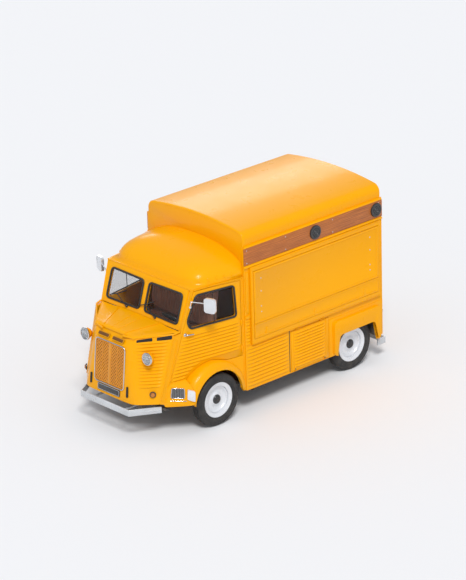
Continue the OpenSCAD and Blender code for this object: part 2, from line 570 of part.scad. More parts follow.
module rear_frame() color("orange") body_height()
    translate([0, box_rear_y, 0]) across_y(0) linear_extrude(rear_frame_t) difference() {
        polygon(concat([[box_hw, sill_z + 46], [box_hw, fascia_top_z - eps]], roof_line(roof_t),
            [[-box_hw, fascia_top_z - eps], [-box_hw, sill_z + 46]]));
        polygon([[-rear_door_x, rear_door_z[0]], [rear_door_x, rear_door_z[0]], [rear_door_x, rear_door_z[1]], [-rear_door_x, rear_door_z[1]]]);
    }
module rear_leaf() block([door_gap / 2, box_rear_y - 28, rear_door_z[0] + door_gap],
    [rear_door_x - door_gap, box_rear_y + 4, rear_door_z[1] - door_gap]);
module rear_door_left() color("orange") body_height() rear_leaf();
module rear_door_right() color("orange") body_height() mirror([1, 0, 0]) rear_leaf();

// ---- Serving hatch, counter and locker ----
leaf_t = hatch_frame_t + 5;
counter_z = [hatch_z[0] + 76, hatch_z[0] + 76 + counter_h];
leaf_y = [hatch_y[0] + hatch_border, hatch_y[1] - hatch_border];
leaf_top_z = hatch_z[1] - 68;
module hatch_frame() color("orange") body_height() across_x(box_hw) linear_extrude(hatch_frame_t) difference() {
    polygon(shrunk_box([hatch_y[0], hatch_z[0]], [hatch_y[1], hatch_z[1]], 0));
    polygon(shrunk_box([leaf_y[0], counter_z[0]], [leaf_y[1], leaf_top_z], -door_gap));
}
module leaf(z, rim) difference() {
    across_x(box_hw + 1) linear_extrude(leaf_t - 1) polygon(shrunk_box([leaf_y[0], z[0]], [leaf_y[1], z[1]], 0));
    across_x(box_hw + leaf_t - 5) linear_extrude(leaf_t) polygon(shrunk_box([leaf_y[0], z[0]], [leaf_y[1], z[1]], rim));
}
module serving_hatch() color("orange") body_height() leaf([counter_z[1] + door_gap, leaf_top_z], 30);
module counter_flap() color("orange") body_height() leaf(counter_z, 22);
module locker_door() color("orange") body_height() across_x(box_hw - 26) linear_extrude(32)
    polygon(shrunk_box([locker_y[0], locker_z[0]], [locker_y[1], locker_z[1]], door_gap));
module fascia_board(front_y) across_x(box_hw) linear_extrude(fascia_t)
    polygon(shrunk_box([front_y, fascia_z], [box_rear_y - 2, fascia_top_z - 2], 0));
module fascia_boards() color("sienna") body_height() {
    fascia_board(box_front_y);
    mirror([1, 0, 0]) fascia_board(wall_step_y);
}

module rear_fenders() color("orange") body_height() both_sides() difference() {
    bulge = [[rear_axle_y - 410, sill_z + 2], [rear_axle_y + 470, sill_z + 12], [rear_axle_y + 470, 830], [rear_axle_y - 410, 830]];
    t = 10;
    union() {
        across_x(box_hw) linear_extrude(50) polygon(softened(bulge, 70));
        across_x(box_hw) linear_extrude(6) polygon([[fender_y[0], sill_z], [rear_axle_y + 440, sill_z],
            [fender_y[1], sill_z + 46], [fender_y[1], 878], [fender_y[0], 878]]);
    }
    across_x(box_hw - eps) linear_extrude(50 - t + eps) polygon(softened([bulge[0] + [t, t], bulge[1] + [-t, t], bulge[2] - [t, t], bulge[3] + [t, -t]], 64));
    across_x(box_hw - 2 * eps) linear_extrude(60) polygon(softened(rear_arch(0), 60));
}

chassis_rails();
floor_pan();
engine_block();
front_suspension();
rear_suspension();
exhaust();
front_bumper();
rear_bumper();
nose_panel();
grille();
windscreen_frame();
windscreen_glass();
cab_sides();
cab_roof();
front_wings();
cab_floor();
dashboard();
seat_cushion();
seat_back();
side_wall_left();
side_wall_right();
box_roof();
roof_front();
rear_frame();
hatch_frame();
fascia_boards();
rear_fenders();
headlamps();
bonnet();
cab_door_left();
cab_door_right();
door_glass_left();
door_glass_right();
mirror_left();
mirror_right();
steering_wheel();
rear_door_left();
rear_door_right();
serving_hatch();
counter_flap();
locker_door();
knuckle_left();
knuckle_right();
rim_front_left();
rim_front_right();
rim_rear_left();
rim_rear_right();
tyre_front_left();
tyre_front_right();
tyre_rear_left();
tyre_rear_right();
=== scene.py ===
import math
import bpy
from mathutils import Matrix, Vector


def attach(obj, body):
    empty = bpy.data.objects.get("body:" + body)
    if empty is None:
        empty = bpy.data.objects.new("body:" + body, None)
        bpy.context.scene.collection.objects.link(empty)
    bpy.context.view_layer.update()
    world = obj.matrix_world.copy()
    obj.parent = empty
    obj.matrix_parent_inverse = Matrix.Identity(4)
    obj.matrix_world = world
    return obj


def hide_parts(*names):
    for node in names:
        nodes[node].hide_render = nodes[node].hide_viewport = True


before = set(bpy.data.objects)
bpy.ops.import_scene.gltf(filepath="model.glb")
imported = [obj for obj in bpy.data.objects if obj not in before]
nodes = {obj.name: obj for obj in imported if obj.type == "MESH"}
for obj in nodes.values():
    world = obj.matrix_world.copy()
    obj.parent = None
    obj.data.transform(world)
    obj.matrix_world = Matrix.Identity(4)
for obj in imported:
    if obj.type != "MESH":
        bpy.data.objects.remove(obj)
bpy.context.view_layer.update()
SIDES = ((-1, "right"), (1, "left"))
AXLE_Z = 0.36
FRONT_AXLE_Y = -0.99
REAR_AXLE_Y = 1.51

# ---- Camera, light and floor ----
# A long lens from in front and to the left, high enough to see the roof. One soft box puts a shine on the
# roof, one fills the front, and the key is a wide soft sun. The floor is pale matt board.
bpy.ops.object.select_all(action="DESELECT")
bpy.ops.object.camera_add(location=(29.4522, -26.4739, 17.4634), rotation=(1.184084, 0.026835, 0.824067))
camera = bpy.context.object
camera.data.lens = 198.69
camera.data.sensor_width = 36.0
camera.data.clip_end = 200.0
bpy.context.scene.camera = camera
bpy.context.scene.view_settings.view_transform = "Standard"

world = bpy.data.worlds.new("Studio")
world.use_nodes = True
sky = world.node_tree.nodes["Background"].inputs
sky["Color"].default_value = (0.93, 0.95, 1.0, 1.0)
sky["Strength"].default_value = 0.60
bpy.context.scene.world = world


def soft_box(name, place, aim, width, length, power):
    bpy.ops.object.light_add(type="AREA", location=place)
    lamp = bpy.context.object
    lamp.name = name
    lamp.data.shape = "RECTANGLE"
    lamp.data.size = width
    lamp.data.size_y = length
    lamp.data.energy = power
    lamp.rotation_euler = (Vector(aim) - Vector(place)).to_track_quat("-Z", "Y").to_euler()
    return lamp


roof_light = soft_box("roof_light", (-24.0, 19.0, 13.0), (0, 0, 2.0), 14.0, 7.0, 1150)
roof_light.visible_diffuse = False
soft_box("front_light", (6.0, -30.0, 9.0), (0, -1.0, 1.0), 12.0, 8.0, 200)
bpy.ops.object.light_add(type="SUN", location=(6, -5, 9), rotation=(math.radians(22), math.radians(33), 0))
key_light = bpy.context.object
key_light.name = "key_light"
key_light.data.energy = 1.95
key_light.data.angle = math.radians(16)

bpy.ops.mesh.primitive_plane_add(size=80)
floor = bpy.context.object
floor.name = "floor"
floor_paint = bpy.data.materials.new("floor_board")
floor_paint.use_nodes = True
floor_look = floor_paint.node_tree.nodes["Principled BSDF"].inputs
floor_look["Base Color"].default_value = (0.86, 0.862, 0.868, 1.0)
floor_look["Roughness"].default_value = 0.9
floor_look["Specular IOR Level"].default_value = 0.1
floor.data.materials.append(floor_paint)

# ---- Underbody ----
# Pressed rails, welded arms, a sheet floor, the engine as one iron block and the silencer. They are
# painted or bare, dusty from the road, and bolted together under the body.
DUST_COLOUR = (0.36, 0.29, 0.21)
DUST_TOP = 0.75
DUST_FULL = 0.2


def noise(tree, place, scale, detail):
    texture = tree.nodes.new("ShaderNodeTexNoise")
    texture.inputs["Scale"].default_value = scale
    texture.inputs["Detail"].default_value = detail
    tree.links.new(place, texture.inputs["Vector"])
    return texture.outputs["Fac"]


def ramp(tree, value, start, stop, low=0.0, high=1.0):
    spread = tree.nodes.new("ShaderNodeMapRange")
    for label, amount in (("From Min", start), ("From Max", stop), ("To Min", low), ("To Max", high)):
        spread.inputs[label].default_value = amount
    tree.links.new(value, spread.inputs["Value"])
    return spread.outputs["Result"]


def mix_colours(tree, factor, under, over):
    mix = tree.nodes.new("ShaderNodeMix")
    mix.data_type = "RGBA"
    tree.links.new(factor, mix.inputs["Factor"])
    for label, colour in (("A", under), ("B", over)):
        if isinstance(colour, tuple):
            mix.inputs[label].default_value = (*colour, 1.0)
        else:
            tree.links.new(colour, mix.inputs[label])
    return mix.outputs["Result"]


def surface(name, colour, shade, rough, metallic=0.0, coat=0.0, patch=3.0, grain=160.0, depth=0.05,
            dust=0.0, streak=(1, 1, 1), extra=()):
    coat_material = bpy.data.materials.new(name)
    coat_material.use_nodes = True
    tree = coat_material.node_tree
    shader = tree.nodes["Principled BSDF"]
    place = tree.nodes.new("ShaderNodeTexCoord").outputs["Object"]
    stretch = tree.nodes.new("ShaderNodeMapping")
    stretch.inputs["Scale"].default_value = streak
    tree.links.new(place, stretch.inputs["Vector"])
    cloud = ramp(tree, noise(tree, stretch.outputs["Vector"], patch, 5.0), 0.3, 0.7)
    tint = mix_colours(tree, cloud, colour, shade)
    if dust > 0:
        height = tree.nodes.new("ShaderNodeSeparateXYZ")
        tree.links.new(place, height.inputs["Vector"])
        blotch = tree.nodes.new("ShaderNodeMath")
        blotch.operation = "MULTIPLY"
        tree.links.new(ramp(tree, height.outputs["Z"], DUST_TOP, DUST_FULL, high=dust), blotch.inputs[0])
        tree.links.new(cloud, blotch.inputs[1])
        tint = mix_colours(tree, blotch.outputs["Value"], tint, DUST_COLOUR)
    tree.links.new(tint, shader.inputs["Base Color"])
    wear = noise(tree, stretch.outputs["Vector"], patch * 6, 6.0)
    tree.links.new(ramp(tree, wear, 0.3, 0.7, *rough), shader.inputs["Roughness"])
    bump = tree.nodes.new("ShaderNodeBump")
    bump.inputs["Strength"].default_value = depth
    bump.inputs["Distance"].default_value = 0.002
    tree.links.new(noise(tree, place, grain, 3.0), bump.inputs["Height"])
    tree.links.new(bump.outputs["Normal"], shader.inputs["Normal"])
    for label, amount in (("Metallic", metallic), ("Coat Weight", coat), ("Coat Roughness", 0.09), *extra):
        shader.inputs[label].default_value = amount
    return coat_material


def dress(names, material):
    for name in names:
        mesh = nodes[name].data
        mesh.materials.clear()
        mesh.materials.append(material)


underbody_paint = surface("underbody_paint", (0.028, 0.027, 0.026), (0.06, 0.055, 0.05), (0.5, 0.8),
                           dust=0.5)
floor_sheet = surface("floor_sheet", (0.12, 0.12, 0.12), (0.19, 0.18, 0.17), (0.35, 0.6),
                      metallic=0.6, dust=0.4)
engine_iron = surface("engine_iron", (0.07, 0.075, 0.075), (0.13, 0.11, 0.09), (0.5, 0.75),
                      metallic=0.5, patch=6, depth=0.2, dust=0.3)
exhaust_steel = surface("exhaust_steel", (0.05, 0.045, 0.04), (0.14, 0.085, 0.05), (0.55, 0.85),
                        metallic=0.6, patch=9, depth=0.25)
dress(["chassis_rails", "front_suspension", "rear_suspension", "knuckle_left", "knuckle_right"],
      underbody_paint)
dress(["floor_pan", "cab_floor"], floor_sheet)
dress(["engine_block"], engine_iron)
dress(["exhaust"], exhaust_steel)

# ---- Body paint ----
# Welded and riveted sheet steel, sprayed a warm orange yellow and lacquered. It is a little duller and
# browner low down, where the road throws dust at it. The vent slots and the grille's back are painted
# shade: darker colour for the shade in the openings behind them.
body_paint = surface("body_paint", (0.93, 0.405, 0.0006), (0.90, 0.385, 0.0005), (0.26, 0.32),
                     coat=0.12, patch=0.7, grain=420, depth=0.02, dust=0.05,
                     extra=[("Specular IOR Level", 0.1)])
grille_paint = surface("grille_paint", (0.74, 0.30, 0.008), (0.64, 0.24, 0.006), (0.3, 0.45),
                       coat=0.3, dust=0.1)
shadow_gap = surface("shadow_gap", (0.012, 0.011, 0.01), (0.02, 0.019, 0.018), (0.6, 0.8))
grille_shade = surface("grille_shade", (0.40, 0.15, 0.005), (0.32, 0.115, 0.004), (0.5, 0.7))
slot_painted_shade = surface("slot_painted_shade", (0.20, 0.075, 0.008), (0.12, 0.045, 0.006), (0.5, 0.7))
dress(["nose_panel", "bonnet", "cab_sides", "side_wall_left", "side_wall_right", "headlamps"], body_paint)
dress(["grille"], grille_paint)

# ---- Box roof ----
# One sheet rolled to a shallow crown, with a rounded shoulder along each side and a small turned-down
# edge at the front. It is spot welded along its foot to the walls.
ROOF_TOP = 2.598
ROOF_HALF = 0.930
ROOF_FOOT = 2.329
ROOF_CROWN = 5.4
ROOF_BEND = 0.112
ROOF_START = -0.42
ROOF_LENGTH = 2.474
ROOF_EDGE = ((0.030, -0.4535), (0.014, -0.4535), (0.005, -0.449), (0.0, -0.44), (0.0, ROOF_START))
ROOF_COLUMNS = 32
ROOF_ROWS = 10
CROWN_COLUMNS = 7
BEND_COLUMNS = 8


def clear():
    if bpy.context.object and bpy.context.object.mode != "OBJECT":
        bpy.ops.object.mode_set(mode="OBJECT")
    bpy.ops.object.select_all(action="DESELECT")


def pick(piece):
    clear()
    piece.select_set(True)
    bpy.context.view_layer.objects.active = piece


def fit(piece, name, body, material, smooth=35):
    pick(piece)
    piece.name = name
    piece.data.materials.clear()
    piece.data.materials.append(material)
    bpy.ops.object.shade_smooth_by_angle(angle=math.radians(smooth))
    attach(piece, body)
    return piece


def roof_point(column, row):
    if row < len(ROOF_EDGE):
        inset, y = ROOF_EDGE[row]
    else:
        inset, y = 0.0, ROOF_START + ROOF_LENGTH * (row - 4) / 6
    bend = ROOF_BEND - inset * 0.6
    reach = ROOF_HALF - inset - bend
    centre = ROOF_TOP - inset - ROOF_CROWN
    rise = math.sqrt((ROOF_CROWN - bend) ** 2 - reach ** 2)
    shoulder = math.atan2(rise, reach)
    step = abs(column - ROOF_COLUMNS // 2)
    if step == ROOF_COLUMNS // 2:
        x, z = ROOF_HALF - inset, ROOF_FOOT
    elif step >= CROWN_COLUMNS:
        turn = shoulder * (CROWN_COLUMNS + BEND_COLUMNS - step) / BEND_COLUMNS
        x, z = reach + bend * math.cos(turn), centre + rise + bend * math.sin(turn)
    else:
        turn = shoulder + (math.pi / 2 - shoulder) * (CROWN_COLUMNS - step) / CROWN_COLUMNS
        x, z = ROOF_CROWN * math.cos(turn), centre + ROOF_CROWN * math.sin(turn)
    return Vector((math.copysign(x, column - ROOF_COLUMNS // 2) if step else 0.0, y, z))


def point_grid(place, across, up):
    clear()
    bpy.ops.mesh.primitive_grid_add(x_subdivisions=across, y_subdivisions=up, size=2)
    piece = bpy.context.object
    for vertex in piece.data.vertices:
        vertex.co = place(round((vertex.co.x + 1) / 2 * across), round((vertex.co.y + 1) / 2 * up))
    return piece


roof_skin = fit(point_grid(roof_point, ROOF_COLUMNS, ROOF_ROWS), "roof_skin", "truck_body", body_paint, 60)
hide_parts("box_roof")

# ---- Body panels ----
# The cab roof, wings, frames, doors and leaves are single pressings. Most of their edges are folded
# over, which rounds the corners by a few millimetres.
def modify(piece, kind, **settings):
    pick(piece)
    change = piece.modifiers.new("change", kind)
    for label, value in settings.items():
        setattr(change, label, value)
    bpy.ops.object.modifier_apply(modifier="change")


def soften(piece, edge):
    modify(piece, "BEVEL", width=edge, segments=2, limit_method="ANGLE", angle_limit=math.radians(28))


def open_mesh():
    bpy.ops.object.mode_set(mode="EDIT")
    bpy.ops.mesh.select_all(action="SELECT")


def add_object(name, data):
    piece = bpy.data.objects.new(name, data)
    bpy.context.scene.collection.objects.link(piece)
    pick(piece)
    return piece


def pressed_copy(node, material, edge, smooth=35, body="truck_body"):
    piece = add_object(node + "_panel", nodes[node].data.copy())
    open_mesh()
    bpy.ops.mesh.remove_doubles(threshold=0.00005)
    bpy.ops.mesh.dissolve_limited(angle_limit=math.radians(0.6))
    bpy.ops.object.mode_set(mode="OBJECT")
    if edge > 0:
        soften(piece, edge)
    fit(piece, node + "_panel", body, material, smooth)
    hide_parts(node)
    return piece


pressed_copy("roof_front", body_paint, 0.004)
cab_roof = pressed_copy("cab_roof", body_paint, 0, 50)
pressed_copy("front_wings", body_paint, 0, 40)
pressed_copy("rear_fenders", body_paint, 0.006, 45)
for node in ("hatch_frame", "rear_frame", "windscreen_frame"):
    pressed_copy(node, body_paint, 0.004)
for door in ("rear_door_left", "rear_door_right"):
    pressed_copy(door, body_paint, 0.004, body=door)
for door in ("cab_door_left", "cab_door_right"):
    pressed_copy(door, body_paint, 0.003, body=door)
for leaf in ("serving_hatch", "counter_flap", "locker_door"):
    pressed_copy(leaf, body_paint, 0.004, body=leaf)

# ---- Bumpers ----
# Pressed steel in light grey, bolted to the ends of the chassis rails. A bead is rolled along the face
# of each to stiffen it.
FRONT_BEAD = [(-0.69, -1.765, 0.382), (-0.472, -2.1235, 0.382), (0.472, -2.1235, 0.382),
              (0.69, -1.765, 0.382)]
REAR_BEAD = [(-0.92, 2.1235, 0.252), (0.92, 2.1235, 0.252)]
bumper_paint = surface("bumper_paint", (0.62, 0.64, 0.66), (0.5, 0.52, 0.54), (0.22, 0.42),
                       metallic=0.1, coat=0.3, patch=5, grain=260, depth=0.02, dust=0.08)
pressed_copy("front_bumper", bumper_paint, 0.005)
pressed_copy("rear_bumper", bumper_paint, 0.005)


def tube(name, points, radius, material, closed=False, sides=3, body="truck_body"):
    line = bpy.data.curves.new(name, "CURVE")
    line.dimensions = "3D"
    line.bevel_depth = radius
    line.bevel_resolution = sides
    line.use_fill_caps = True
    spline = line.splines.new("POLY")
    spline.points.add(len(points) - 1)
    for spot, point in zip(spline.points, points):
        spot.co = (*point, 1.0)
    spline.use_cyclic_u = closed
    add_object(name, line)
    bpy.ops.object.convert(target="MESH")
    return fit(bpy.context.object, name, body, material, 60)


tube("front_bumper_bead", FRONT_BEAD, 0.006, bumper_paint)
tube("rear_bumper_bead", REAR_BEAD, 0.006, bumper_paint)

# ---- Wheels ----
# Pressed steel discs in silver white with a stepped dish and a rolled rim, and a black dust cap over
# the hub. The tyres are ribbed cross-plies with a rubbing strip on the wall.
wheel_paint = surface("wheel_paint", (0.78, 0.8, 0.83), (0.72, 0.74, 0.77), (0.25, 0.42),
                      metallic=0.15, coat=0.35, patch=6, grain=240, depth=0.02, dust=0.07)
tyre_rubber = surface("tyre_rubber", (0.014, 0.014, 0.015), (0.028, 0.027, 0.026), (0.55, 0.8),
                      patch=12, grain=420, depth=0.2, dust=0.05)
cap_black = surface("cap_black", (0.018, 0.018, 0.02), (0.03, 0.03, 0.03), (0.25, 0.4),
                    coat=0.3, patch=20)


def close_mesh():
    bpy.ops.mesh.select_all(action="SELECT")
    bpy.ops.mesh.normals_make_consistent(inside=False)
    bpy.ops.object.mode_set(mode="OBJECT")


def turned(name, profile, centre, axis, material, steps=64, smooth=35, body="truck_body"):
    clear()
    bpy.ops.mesh.primitive_circle_add(vertices=len(profile), fill_type="NOTHING")
    piece = bpy.context.object
    along = Vector(axis).normalized()
    across = along.orthogonal().normalized()
    for vertex, (radius, depth) in zip(piece.data.vertices, profile):
        vertex.co = Vector(centre) + along * depth + across * radius
    open_mesh()
    bpy.ops.mesh.spin(steps=steps, angle=math.tau, center=centre, axis=along)
    bpy.ops.mesh.select_all(action="SELECT")
    bpy.ops.mesh.remove_doubles(threshold=0.0001)
    bpy.ops.mesh.delete_loose()
    close_mesh()
    return fit(piece, name, body, material, smooth)


rim_front = [(0.238, 0.067), (0.2425, 0.063), (0.241, 0.057), (0.214, 0.052), (0.206, 0.046), (0.202, 0.03),
             (0.196, 0.026), (0.187, 0.03), (0.176, 0.036), (0.166, 0.034), (0.158, 0.022), (0.148, 0.012),
             (0.122, 0.006), (0.1, 0.009), (0.086, 0.02), (0.078, 0.026), (0.021, 0.026)]
rim_back = [(0.021, 0.018), (0.074, 0.018), (0.08, 0.012), (0.1, 0.0), (0.122, -0.003), (0.15, 0.003),
            (0.164, 0.014), (0.18, 0.024), (0.194, 0.016), (0.196, -0.03), (0.206, -0.052), (0.241, -0.058),
            (0.2425, -0.064), (0.238, -0.067), (0.214, -0.062), (0.2, -0.056), (0.189, -0.04), (0.189, 0.05)]
half_tyre = [(0.208, 0.05), (0.243, 0.058), (0.252, 0.07), (0.262, 0.0775), (0.276, 0.0825), (0.281, 0.0845),
             (0.288, 0.0845), (0.292, 0.0822), (0.312, 0.0812), (0.328, 0.0765), (0.333, 0.0775),
             (0.338, 0.0755), (0.345, 0.069), (0.3535, 0.0575), (0.3585, 0.048), (0.3595, 0.041),
             (0.352, 0.0395), (0.352, 0.0335), (0.36, 0.032), (0.36, 0.0145), (0.352, 0.013),
             (0.352, 0.0065), (0.36, 0.005)]
tyre_ring = half_tyre + [(radius, -depth) for radius, depth in reversed(half_tyre)]
cap_ring = [(0.0, 0.05), (0.016, 0.0505), (0.0185, 0.046), (0.0225, 0.046), (0.025, 0.0505), (0.037, 0.049),
            (0.039, 0.045), (0.043, 0.045), (0.0455, 0.0475), (0.056, 0.043), (0.063, 0.035), (0.0645, 0.026),
            (0.06, 0.0245), (0.054, 0.038), (0.04, 0.041), (0.0, 0.042)]
for end, wheel_x, wheel_y in (("front", 0.9, FRONT_AXLE_Y), ("rear", 0.849, REAR_AXLE_Y)):
    for side, name in reversed(SIDES):
        corner = end + "_" + name
        wheel = "wheel_" + corner
        hub = (side * wheel_x, wheel_y, AXLE_Z)
        outward = (side, 0, 0)
        rim = turned("rim_" + corner + "_disc", rim_front + rim_back, hub, outward, wheel_paint, body=wheel)
        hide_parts("rim_" + corner)
        tyre = turned("tyre_" + corner + "_rubber", tyre_ring, hub, outward, tyre_rubber, 80, body=wheel)
        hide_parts("tyre_" + corner)
        turned("hub_cap_" + corner, cap_ring, hub, outward, cap_black, 40, body=wheel)

# ---- Nose ----
# One pressed skin from door pillar to door pillar, folded round the face and ribbed along both sides to
# stiffen the thin sheet. It is spot welded to the pillars and the bonnet closes on its top edge.
NOSE_ROWS = 80
NOSE_SIDE = 9
NOSE_FOLD = 0.88
FACE_FOOT = (0.45, -2.047, 0.47)
FACE_TOP = (0.318, -1.9726, 1.225)
NOSE_TOP = (0.38, -1.893, 1.335)
CREASE_FOOT = (0.535, -1.97, 0.47)
PILLAR_FOOT = (0.7298, -1.801, 0.485)
PILLAR_TOP = (0.7719, -1.549, 1.392)
NOSE_RIB = Vector((0.7, -0.7, 0)) * 0.018


def between(a, b, t):
    return Vector(a).lerp(Vector(b), t)


def pressed_sheet(name, place, across, up, levels=2, wall=0.0, smooth=50, body="truck_body"):
    piece = point_grid(place, across, up)
    modify(piece, "SUBSURF", levels=levels, render_levels=levels)
    if wall > 0:
        modify(piece, "SOLIDIFY", thickness=wall, offset=-1.0)
    return fit(piece, name, body, body_paint, smooth)


def nose_point(column, row):
    side = 1 if column > NOSE_SIDE + 4 else -1
    step = abs(column - NOSE_SIDE - 4)
    t = row / NOSE_ROWS
    if t < NOSE_FOLD:
        face = between(FACE_FOOT, FACE_TOP, t / NOSE_FOLD)
    else:
        face = between(FACE_TOP, NOSE_TOP, (t - NOSE_FOLD) / (1 - NOSE_FOLD))
    crease = between(CREASE_FOOT, NOSE_TOP, t)
    if step == 0:
        spot = Vector((0, face.y, face.z))
    elif step == 1:
        spot = Vector((face.x * 0.55, face.y, face.z))
    elif step == 2:
        spot = face
    elif step == 3:
        spot = crease.lerp(face, 0.12)
    else:
        spot = crease.lerp(between(PILLAR_FOOT, PILLAR_TOP, t), 0.03 + 0.97 * (step - 4) / NOSE_SIDE)
        if 20 <= row <= 75 and row % 4 in (1, 2) and 1 <= step - 4 < NOSE_SIDE - 1:
            spot += NOSE_RIB
    return Vector((side * spot.x, spot.y, spot.z))


nose_skin = pressed_sheet("nose_skin", nose_point, 2 * NOSE_SIDE + 8, NOSE_ROWS, 1, 0.012)
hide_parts("nose_panel")

# ---- Nose vents and number plate ----
# Slots with rolled rims let air out beside the bonnet and over the grille, and two narrow ones stand at
# the foot. The plate below the grille is blank, in a thin light frame.
FACE_LEAN = 0.0985
FACE_OUT = Vector((0, -0.995, 0.098))
BONNET_EDGE = ((0.384, -1.894, 1.323), (0.7719, -1.552, 1.402))


def face_point(x, z, out=0.0):
    return Vector((x, -2.047 + (z - 0.47) * FACE_LEAN - out, z))


def rectangle(u0, u1, v0, v1):
    return ((u0, v0), (u1, v0), (u1, v1), (u0, v1))


def face_rectangle(x0, x1, z0, z1, out=0.0):
    return [face_point(x, z, out) for x, z in rectangle(x0, x1, z0, z1)]


def rounded(corners, radius, steps=5):
    path = []
    for index, corner in enumerate(corners):
        middle = Vector(corner)
        before = Vector(corners[index - 1]) - middle
        after = Vector(corners[(index + 1) % len(corners)]) - middle
        start = middle + before.normalized() * min(radius, before.length * 0.45)
        stop = middle + after.normalized() * min(radius, after.length * 0.45)
        for count in range(steps + 1):
            t = count / steps
            path.append(start * (1 - t) ** 2 + middle * 2 * t * (1 - t) + stop * t ** 2)
    return path


def shifted(points, move):
    return [point + Vector(move) for point in points]


def plate(name, corners, rise, material, edge=0.0, body="truck_body"):
    clear()
    bpy.ops.mesh.primitive_circle_add(vertices=len(corners), fill_type="NGON")
    piece = bpy.context.object
    for vertex, corner in zip(piece.data.vertices, corners):
        vertex.co = corner
    open_mesh()
    bpy.ops.mesh.extrude_region_move(TRANSFORM_OT_translate={"value": tuple(rise)})
    close_mesh()
    if edge > 0:
        soften(piece, edge)
    return fit(piece, name, body, material)


for side, name in SIDES:
    top_vent = rounded([face_point(side * x, z) + Vector((0, 0.026 if z > 1.26 else 0.0, 0))
                        for x, z in rectangle(0.035, 0.245, 1.252, 1.292)], 0.014)
    # Each slot's plate is painted shade: dark brown for the shade inside the opening.
    plate("top_vent_" + name, top_vent, (0, -0.012, 0.010), slot_painted_shade, 0.002)
    tube("top_vent_rim_" + name, shifted(top_vent, (0, -0.013, 0.004)), 0.004, body_paint, True)
    foot_vent = [face_point(side * x, z, -0.004)
                 for x, z in ((0.342, 0.545), (0.376, 0.545), (0.372, 0.69), (0.342, 0.69))]
    plate("foot_vent_" + name, rounded(foot_vent, 0.014), FACE_OUT * 0.014, shadow_gap, 0.003)
    for part, start, stop in (("front", 0.045, 0.45), ("rear", 0.56, 0.95)):
        corners = []
        for along, drop in ((start, 0.064), (stop, 0.058), (stop, 0.002), (start, 0.008)):
            spot = between(*BONNET_EDGE, along)
            corners.append(Vector((side * (spot.x - 0.002), spot.y + 0.003, spot.z - drop)))
        vent = rounded(corners, 0.016)
        plate("bonnet_vent_" + part + "_" + name, vent, (side * 0.0085, -0.0085, 0.001), shadow_gap, 0.002)
        tube("bonnet_vent_rim_" + part + "_" + name, shifted(vent, (side * 0.005, -0.005, 0)), 0.004,
             body_paint, True)

plate("number_plate", rounded(face_rectangle(-0.218, 0.218, 0.508, 0.596), 0.012), FACE_OUT * 0.012,
      cap_black, 0.003)
plate_rim = shifted(rounded(face_rectangle(-0.208, 0.208, 0.516, 0.588), 0.01), FACE_OUT * 0.012)
tube("number_plate_rim", plate_rim, 0.0025, bumper_paint, True)

# ---- Grille ----
# Two panels of expanded-metal mesh sprayed in the body colour, in a chromed steel surround with a
# central bar, screwed to the nose over the radiator opening.
MESH_FOOT = 0.634
MESH_HEIGHT = 0.55
MESH_COLUMNS = 5
MESH_ROWS = 12
chrome = surface("chrome", (0.66, 0.67, 0.69), (0.56, 0.57, 0.59), (0.06, 0.16), metallic=1.0,
                 patch=8, grain=200, depth=0.02, dust=0.05)
# The back plate behind the mesh is painted shade, a darker copy of the body colour.
plate("grille_back", rounded(face_rectangle(-0.284, 0.284, 0.625, 1.194, -0.002), 0.05), FACE_OUT * 0.005,
      grille_shade)
tube("grille_surround", rounded(face_rectangle(-0.29, 0.29, 0.615, 1.204, 0.006), 0.06), 0.0075, chrome, True)


def mesh_panel(name, x0, x1):
    def place(column, row):
        across = x0 + (x1 - x0) * column / MESH_COLUMNS
        return face_point(across, MESH_FOOT + MESH_HEIGHT * row / MESH_ROWS, 0.005)

    piece = point_grid(place, MESH_COLUMNS, MESH_ROWS)
    open_mesh()
    bpy.ops.mesh.poke()
    bpy.ops.mesh.tris_convert_to_quads(face_threshold=3.1, shape_threshold=3.1)
    bpy.ops.object.mode_set(mode="OBJECT")
    modify(piece, "WIREFRAME", thickness=0.0125, use_boundary=True)
    return fit(piece, name, "truck_body", grille_paint, 40)


grille_left = mesh_panel("grille_mesh_left", 0.018, 0.272)
mesh_panel("grille_mesh_right", -0.272, -0.018)
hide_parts("grille")
plate("grille_bar", face_rectangle(-0.017, 0.017, 0.628, 1.192), FACE_OUT * 0.014, grille_paint, 0.004)
for side, name in SIDES:
    tube("grille_bar_edge_" + name, [face_point(side * 0.019, z, 0.009) for z in (0.628, 1.192)], 0.0035,
         grille_paint)
    tube("grille_fold_" + name, [face_point(side * 0.145, z, 0.008) for z in (0.632, 1.188)], 0.004,
         grille_paint)

# ---- Bonnet ----
# A ribbed steel lid hinged below the windscreen. Its raised middle widens towards the back and its edges
# are folded down over the nose.
BONNET_X = (0.0, 0.25, 0.46, 0.56, 0.66, 0.84, 0.97, 1.0)
BONNET_RAISE = (0.016, 0.016, 0.016, 0.012, 0.0, 0.0, 0.0, -0.012)
BONNET_FRONT = Vector((0.386, -1.908, 1.361))
BONNET_SPAN = Vector((0.386, 0.447, 0.056))
SHUT_BEAD = ((0.20, -1.935, 1.338), (0.372, -1.897, 1.342), (0.5, -1.782, 1.36), (0.764, -1.553, 1.400),
             (0.779, -1.462, 1.418))


def bonnet_point(column, row):
    side = 1 if column >= 7 else -1
    step = abs(column - 7)
    half, y, z = BONNET_FRONT + BONNET_SPAN * max(0.0, min(1.0, (row - 1) / 8))
    z += BONNET_RAISE[step]
    if row == 0:
        z -= 0.038
        y -= 0.004
    if step in (4, 5) and row % 2 == 0 and 2 <= row <= 8:
        z += 0.004
    return Vector((side * BONNET_X[step] * half, y, z))


def sided(side, points):
    return [Vector((side * x, y, z)) for x, y, z in points]


